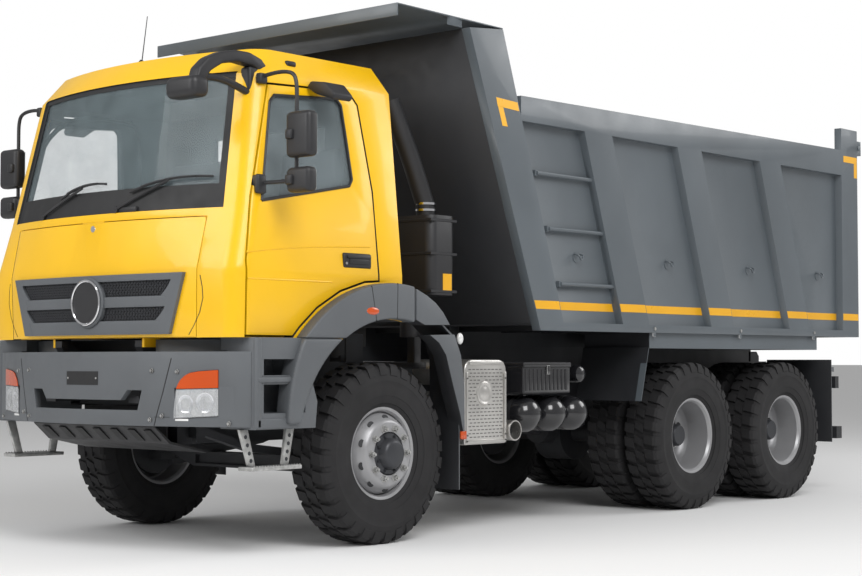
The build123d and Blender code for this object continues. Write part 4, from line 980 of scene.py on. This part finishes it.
print("chassis fittings")
shield = {"rear": -1.16, "front": -0.735, "low": 0.56, "high": 1.1, "corner": 0.075, "inner": 0.69, "wide": 0.448,
          "face": 1.1375, "rows": 20, "rowPitch": 0.0225, "columns": 9, "columnPitch": 0.0385, "stagger": 0.012}
outlet = {"x": -0.93, "z": 0.885, "clear": 0.085}
bm = bmesh.new()  # slotted shield over the exhaust, with its outlet
outline = [(shield["rear"], shield["low"]), (shield["front"], shield["low"])]
corner = shield["corner"]
for start, middleX in ((0, shield["front"] - corner), (90, shield["rear"] + corner)):
    for angle in [math.radians(start + 15 * k) for k in range(7)]:
        outline.append((middleX + corner * math.cos(angle), shield["high"] - corner + corner * math.sin(angle)))
addSlab(bm, shield["inner"], outline, shield["wide"], 0.014, 3)
face = shield["face"]
rims = ((-0.765, -0.745, 0.575, 1.02), (-1.15, -1.13, 0.575, 1.02), (-1.15, -0.745, 0.572, 0.59),
        (-1.12, -0.775, 1.066, 1.084))
for rear, front, low, high in rims:
    addBoxes(bm, ((rear, face, low), (front, face + 0.007, high), 0.003))
# the slots are flat, darker boxes: painted shade seen through the perforations
for row in range(shield["rows"]):
    z = 0.608 + row * shield["rowPitch"]
    for column in range(shield["columns"]):
        x = -1.105 + column * shield["columnPitch"] + (shield["stagger"] if row % 2 else 0)
        if (x - outlet["x"]) ** 2 + (z - outlet["z"]) ** 2 >= outlet["clear"] ** 2:
            addBoxes(bm, ((x - 0.0125, 1.1372, z - 0.0032), (x + 0.0125, 1.1388, z + 0.0032), 0, 1, 1))
addLathe(bm, [(0.0, 0.0), (0.0, 0.078), (0.006, 0.075), (0.0085, 0.066), (0.004, 0.055), (0.0035, 0.045),
              (0.0085, 0.034), (0.0095, 0.0)], at(outlet["x"], 1.1372, outlet["z"]), 48)
addLathe(bm, [(-0.2, 0.066), (-0.2, 0.058), (0.2, 0.058), (0.2, 0.066), (0.192, 0.0685), (0.18, 0.066)],
         at(-1.222, 0.96, 0.64), 44)
# a black rod inside the tail pipe: painted shade for its hollow bore
addRod(bm, at(-1.222, 0.8, 0.64), at(-1.222, 1.09, 0.64), 0.0585, 36, 2)
for x, z in ((-1.14, 0.62), (-0.755, 0.62), (-1.14, 0.98), (-0.755, 0.98)):
    addStud(bm, at(x, face + 0.007, z), (0, 0.0045, 0), 0.006, 12, 1)
finished(bm, "exhaust_heat_shield", "chassis", ["stainless", "shieldHoleShade", "rubberSeal"], "bright_steel",
         "exhaust_box")

bm = bmesh.new()
tanks = {"places": (-1.466, -1.742, -1.99), "inner": 0.56, "z": 0.735, "straps": (0.7, 0.98),
         "profile": [(0, 0), (0, 0.06), (0.014, 0.1), (0.035, 0.1165), (0.05, 0.118), (0.46, 0.118), (0.505, 0.1165),
                     (0.545, 0.1), (0.573, 0.07), (0.586, 0.035), (0.59, 0)]}
battery = {"shelf": ((-2.02, 0.4305, 0.853), (-1.43, 0.64, 0.8695)),
           "case": ((-1.89, 0.45, 0.871), (-1.37, 1.112, 1.08)),
           "lid": ((-1.893, 0.46, 1.045), (-1.367, 1.12, 1.0825)),
           "latch": ((-1.646, 1.115, 1.0), (-1.614, 1.1245, 1.06)), "ribs": 11, "ribStart": -1.85, "ribPitch": 0.044}
for x in tanks["places"]:
    addLathe(bm, tanks["profile"], at(x, tanks["inner"], tanks["z"]), 56)
    for y in tanks["straps"]:
        addLathe(bm, [(0, 0.1175), (0, 0.1195), (0.03, 0.1195), (0.03, 0.1175)], at(x, y, tanks["z"]), 48, 1)
addBoxes(bm, (*battery["shelf"], 0.002, 1, 1), (*battery["case"], 0.012, 3, 1), (*battery["lid"], 0.01, 3, 1),
         (*battery["latch"], 0.003, 2, 2))
for k in range(battery["ribs"]):
    x = battery["ribStart"] + k * battery["ribPitch"]
    addBoxes(bm, ((x, 1.11, 0.895), (x + battery["ribPitch"] / 2, 1.117, 1.035), 0.003, 1, 1))
finished(bm, "battery_cover_and_tanks", "chassis", ["tankBlack", "blackPlastic", "galvanised"], "black_paint",
         "battery_box_and_air_tanks")

bm = bmesh.new()
dryerX, dryerZ, railFace = -2.08, 1.0, 0.43
addLathe(bm, [(-0.2, 0), (-0.2, 0.05), (-0.19, 0.058), (0.0, 0.06), (0.02, 0.055), (0.035, 0.035), (0.04, 0)],
         at(dryerX, 1.04, dryerZ), 40)
addBoxes(bm, ((dryerX - 0.03, 0.9, dryerZ - 0.015), (dryerX + 0.03, 1.0, dryerZ + 0.015), 0.004, 1, 1))
addRod(bm, at(dryerX, railFace, dryerZ), at(dryerX, 0.9, dryerZ), 0.02, 16, 1)
finished(bm, "air_dryer", "chassis", ["tankBlack", "frameDark"], "black_paint")


def boxPiece(name, body, finishes, slotName, *boxes, bothSides=False):
    # a piece made only of boxes
    bm = bmesh.new()
    addBoxes(bm, *boxes)
    if bothSides:
        mirrored(bm)
    finished(bm, name, body, finishes, slotName)


boxPiece("air_cleaner_label", "chassis", "stripeYellow", "yellow_paint",
         ((-0.652, 1.1008, 1.52), (-0.568, 1.1022, 1.635)))
intake = {"ribs": (1.515, 1.75, 1.96), "radius": 0.062, "clamps": (2.035, 2.075),
          "clampSection": [(0, 0.0615), (0, 0.0665), (0.014, 0.0665), (0.014, 0.0615)],
          "pipe": [(-0.6, 0.93, 1.99), (-0.6, 0.93, 2.07), (-0.585, 0.92, 2.12), (-0.5, 0.9, 2.35),
                   (-0.37, 0.86, 2.66), (-0.35, 0.85, 2.72)]}
bm = bmesh.new()  # ribs of the air cleaner, and its pipe up behind the cab
for z in intake["ribs"]:
    addBoxes(bm, ((-0.7035, 0.72, z), (-0.4535, 1.1035, z + 0.018), 0.003, 1))
addTube(bm, placed(intake["pipe"]), intake["radius"], 20)
for z in intake["clamps"]:
    addTurned(bm, intake["clampSection"], at(-0.6, 0.93, z), 40, 1, 90, "X")
finished(bm, "air_intake_pipe", "chassis", ["blackPlastic", "chrome"], "black_plastic")

bm = bmesh.new()
addPebble(bm, at(-0.615, 1.2, 1.228), (0.024, 0.02, 0.036))
finished(bm, "side_lamps_white", "chassis", "clearLens", "lamp_clear")
boxPiece("side_reflectors", "chassis", "orangeLens", "lamp_orange",
         ((-0.655, 1.2145, 0.605), (-0.6, 1.219, 0.655), 0.006), bothSides=True)
tailLenses = [((-5.704, low, 0.87), (-5.699, high, 0.95), 0.004)
              for low, high in ((0.63, 0.79), (0.8, 0.95), (0.96, 1.11))]
boxPiece("tail_lamp_lenses", "chassis", "redLens", "lamp_orange", *tailLenses, bothSides=True)
# dark sheets behind the front, beside the frame and by the air cleaner: painted shade filling the gaps under the cab
boxPiece("engine_bay_shade_sheets", "chassis", "bodyDark", "black_plastic", ((1.02, -0.86, 0.98), (1.028, 0.86, 1.214)),
         *[((0.1, y - 0.003, 0.95), (1.02, y + 0.003, 1.214)) for y in (0.448, -0.448)],
         ((-0.53, 0.441, 1.08), (-0.37, 0.456, 1.262), 0.004))

bm = bmesh.new()  # arch carried down to the steps, with the middle tread
fairing = {"top": 1.2185, "drop": 0.4825, "inner": 0.803, "outer": 1.0135, "narrowing": 0.115, "face": 1.1,
           "thick": 0.1195, "shelf": ((0.72, 1.02, 0.968), (1.095, 1.198, 1.003)),
           "grip": ((0.79, 1.03, 1.0015), (1.08, 1.19, 1.005)), "post": ((1.06, 1.16, 0.715), (1.105, 1.193, 1.2185)),
           "sill": ((0.79, 1.16, 0.713), (1.1, 1.193, 0.775))}


def archLine(radius, share):
    # where an arch of that radius is, partway down from the fairing's top
    z = fairing["top"] - fairing["drop"] * share
    return math.sqrt(radius ** 2 - (z - axleHeight) ** 2), z


shares = [k / 16 for k in range(17)]
outline = [archLine(fairing["outer"] - fairing["narrowing"] * share, share) for share in shares]
outline += [archLine(fairing["inner"], share) for share in reversed(shares)]
addSlab(bm, fairing["face"], outline, fairing["thick"], 0.02, 3)
addBoxes(bm, (*fairing["shelf"], 0.012, 3), (*fairing["grip"], 0.001, 1, 1), (*fairing["post"], 0.012, 3),
         (*fairing["sill"], 0.012, 3))
mirrored(bm)
finished(bm, "step_arches", "chassis", ["greyPlastic", "hubDark"], "grey_plastic")

bm = bmesh.new()  # lowest step on two leaning straps
hanger = {"top": 0.7115, "foot": 0.505, "halfTop": 0.032, "halfFoot": 0.025, "face": 1.06, "thick": 0.022,
          "holes": (0.2, 0.42, 0.64, 0.84)}
drop = hanger["top"] - hanger["foot"]
for top, foot in ((1.095, 1.03), (0.738, 0.775)):
    corners = [(top - hanger["halfTop"], hanger["top"]), (top + hanger["halfTop"], hanger["top"]),
               (foot + hanger["halfFoot"], hanger["foot"]), (foot - hanger["halfFoot"], hanger["foot"])]
    addSlab(bm, hanger["face"], corners, hanger["thick"], 0.004)
    # dark discs on the strap: painted shade where its holes are
    for share in hanger["holes"]:
        place = at(top + (foot - top) * share, 1.0815, hanger["top"] - drop * share)
        addStud(bm, place, (0, 0.0012, 0), 0.0115, 20, 1)
addBoxes(bm, ((0.71, 1.03, 0.484), (1.09, 1.15, 0.5055), 0.004))
for x in [0.745 + 0.0515 * k for k in range(7)]:
    addBoxes(bm, ((x - 0.017, 1.045, 0.5045), (x + 0.017, 1.135, 0.5062), 0, 1, 1))
for x in [0.725 + 0.0205 * k for k in range(18)]:  # teeth along the tread's edge
    addSlab(bm, 1.141, [(x - 0.007, 0.505), (x + 0.007, 0.505), (x, 0.513)], 0.008)
mirrored(bm)
finished(bm, "leaning_hanging_steps", "chassis", ["galvanised", "hubDark"], "bright_steel", "hanging_steps")

bm = bmesh.new()
addTurned(bm, [(0, 0), (0, 0.02), (0.003, 0.019), (0.0045, 0.0)], at(noseX(1.86, 0) - 0.0005, 0, 1.86), 32)
finished(bm, "bonnet_stud", "front_flap", "chrome", "bright_steel")

apronTrim = {"front": -2.7, "foot": -2.6, "rear": -5.15, "step": 1.18, "low": 0.806, "proud": 0.0012}
apronLow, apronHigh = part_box("bed_aprons")
outerY = max(abs(apronLow[1]), abs(apronHigh[1]))
faceY = outerY + apronTrim["proud"]
bm = bmesh.new()
addBox(bm, Vector((at(apronTrim["rear"], 0, 0).x, outerY - 0.003, apronTrim["step"])),
       Vector((at(apronTrim["front"], 0, 0).x, faceY, apronHigh[2] - 0.001)))
corners = ((apronTrim["foot"], outerY - 0.05, apronTrim["low"]), (apronTrim["foot"], faceY, apronTrim["low"]),
           (apronTrim["front"], faceY, apronTrim["step"]), (apronTrim["front"], outerY - 0.05, apronTrim["step"]))
addPrism(bm, [at(x + 0.0095, y, z) for x, y, z in corners], (-0.004, 0, 0))
mirrored(bm)
finished(bm, "apron_trim", "bed", "bodyGrey", "body_grey")

print("cab inside")
bm = bmesh.new()  # made flat at the origin, then tilted on its column
steering = {"place": at(0.74, -0.52, 1.9), "up": Vector((-0.55, 0, 0.83)), "radius": 0.2105, "grip": 0.0135,
            "rise": 0.013}
turns = [2 * math.pi * k / 14 for k in range(14)]
circle = [bm.verts.new((steering["radius"] + steering["grip"] * math.cos(turn), 0,
                        steering["rise"] + steering["grip"] * math.sin(turn))) for turn in turns]
ring = [bm.edges.new(pair) for pair in zip(circle, circle[1:] + circle[:1])]
bmesh.ops.spin(bm, geom=circle + ring, cent=(0, 0, 0), axis=(0, 0, 1), angle=2 * math.pi, steps=64, use_merge=True)
bmesh.ops.remove_doubles(bm, verts=bm.verts, dist=1e-5)
for out in (Vector((1, 0, 0)), Vector((0, 1, 0)), Vector((-1, 0, 0)), Vector((0, -1, 0))):
    addRod(bm, out * 0.04 + Vector((0, 0, 0.01)), out * 0.205 + Vector((0, 0, steering["rise"])), 0.013, 12)
addRod(bm, (0, 0, -0.25), (0, 0, 0.005), 0.055, 28, endRadius=0.05)
addRod(bm, (0, 0, -0.005), (0, 0, 0.025), 0.058, 32, bevel=0.008)
tilt = steering["up"].to_track_quat("Z", "Y").to_matrix().to_4x4()
bmesh.ops.transform(bm, matrix=Matrix.Translation(steering["place"]) @ tilt, verts=bm.verts)
bmesh.ops.recalc_face_normals(bm, faces=bm.faces)
finished(bm, "steering_wheel_rim", "cab", "blackPlastic", "black_plastic", "steering_wheel")

bm = bmesh.new()
seat = {"places": (-0.52, 0.52), "halfCushion": 0.248, "halfBack": 0.243,
        "back": ((0.062, 1.782), (0.112, 1.782), (0.034, 2.396), (-0.058, 2.378))}
for y in seat["places"]:
    half = seat["halfCushion"]
    addBoxes(bm, ((0.092, y - half, 1.702), (0.518, y + half, 1.828), 0.045, 5))
    half = seat["halfBack"]
    addSlab(bm, y - half, seat["back"], 2 * half, 0.022, 5)
seats = finished(bm, "seat_covers", "cab", "seatFabric", "seat_fabric", "seat_cushions")

print("studio")
studio = {"floor": (0.86, 0.86, 0.86), "floorHalf": 400, "light": 0.42, "seen": 1.0}
floorFinish, tree, shader, coords = nodeMaterial("paleFloor", studio["floor"], 0.9)
bumpInto(tree, shader, noiseInto(tree, coords, 40.0, 3.0), 0.05, 0.001)  # a faint speckle
floorMesh = bpy.data.meshes.new("studioFloor")
bm = bmesh.new()
bmesh.ops.create_grid(bm, x_segments=1, y_segments=1, size=studio["floorHalf"])
bm.to_mesh(floorMesh)
bm.free()
floorMesh.materials.append(floorFinish)
studioFloor = bpy.data.objects.new("studioFloor", floorMesh)
bpy.context.scene.collection.objects.link(studioFloor)
studioFloor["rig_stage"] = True

world = bpy.data.worlds.new("studioWorld")
bpy.context.scene.world = world
world.use_nodes = True
worldTree = world.node_tree
background = worldTree.nodes["Background"]
background.inputs["Color"].default_value = (1, 1, 1, 1)
lightPath = worldTree.nodes.new("ShaderNodeLightPath")
seen = worldTree.nodes.new("ShaderNodeMath")
seen.operation = "MAXIMUM"
worldTree.links.new(lightPath.outputs["Is Camera Ray"], seen.inputs[0])
worldTree.links.new(lightPath.outputs["Is Transmission Ray"], seen.inputs[1])
level = worldTree.nodes.new("ShaderNodeMapRange")
level.inputs["To Min"].default_value = studio["light"]
level.inputs["To Max"].default_value = studio["seen"]
worldTree.links.new(seen.outputs["Value"], level.inputs["Value"])
worldTree.links.new(level.outputs["Result"], background.inputs["Strength"])


def addLight(name, place, target, size, energy):
    data = bpy.data.lights.new(name, "AREA")
    data.shape = "RECTANGLE"
    data.size, data.size_y = size
    data.energy = energy
    light = bpy.data.objects.new(name, data)
    light.location = place
    light.rotation_euler = (Vector(target) - Vector(place)).to_track_quat("-Z", "Y").to_euler()
    bpy.context.scene.collection.objects.link(light)


lights = {"keyLight": ((6, 9, 9), (0, 0, 1.2), (6, 6), 900), "frontLight": ((11, -2, 6), (2, 0, 1.5), (6, 5), 420),
          "rearLight": ((-9, 6, 7), (-2, 0, 1.5), (6, 5), 380)}
for name, (place, target, size, energy) in lights.items():
    addLight(name, place, target, size, energy)

shot = {"focalLength": 72.0, "place": at(7.6042, 8.0918, 1.0906), "heading": 220.94, "pitch": 2.418}
cameraData = bpy.data.cameras.new("camera")
cameraData.lens = shot["focalLength"]
cameraData.sensor_width = 36
camera = bpy.data.objects.new("camera", cameraData)
camera.location = shot["place"]
camera.rotation_euler = (math.radians(90 + shot["pitch"]), 0, math.radians(shot["heading"] - 90))
bpy.context.scene.collection.objects.link(camera)
bpy.context.scene.camera = camera
bpy.context.scene.view_settings.view_transform = "Standard"

low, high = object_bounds()
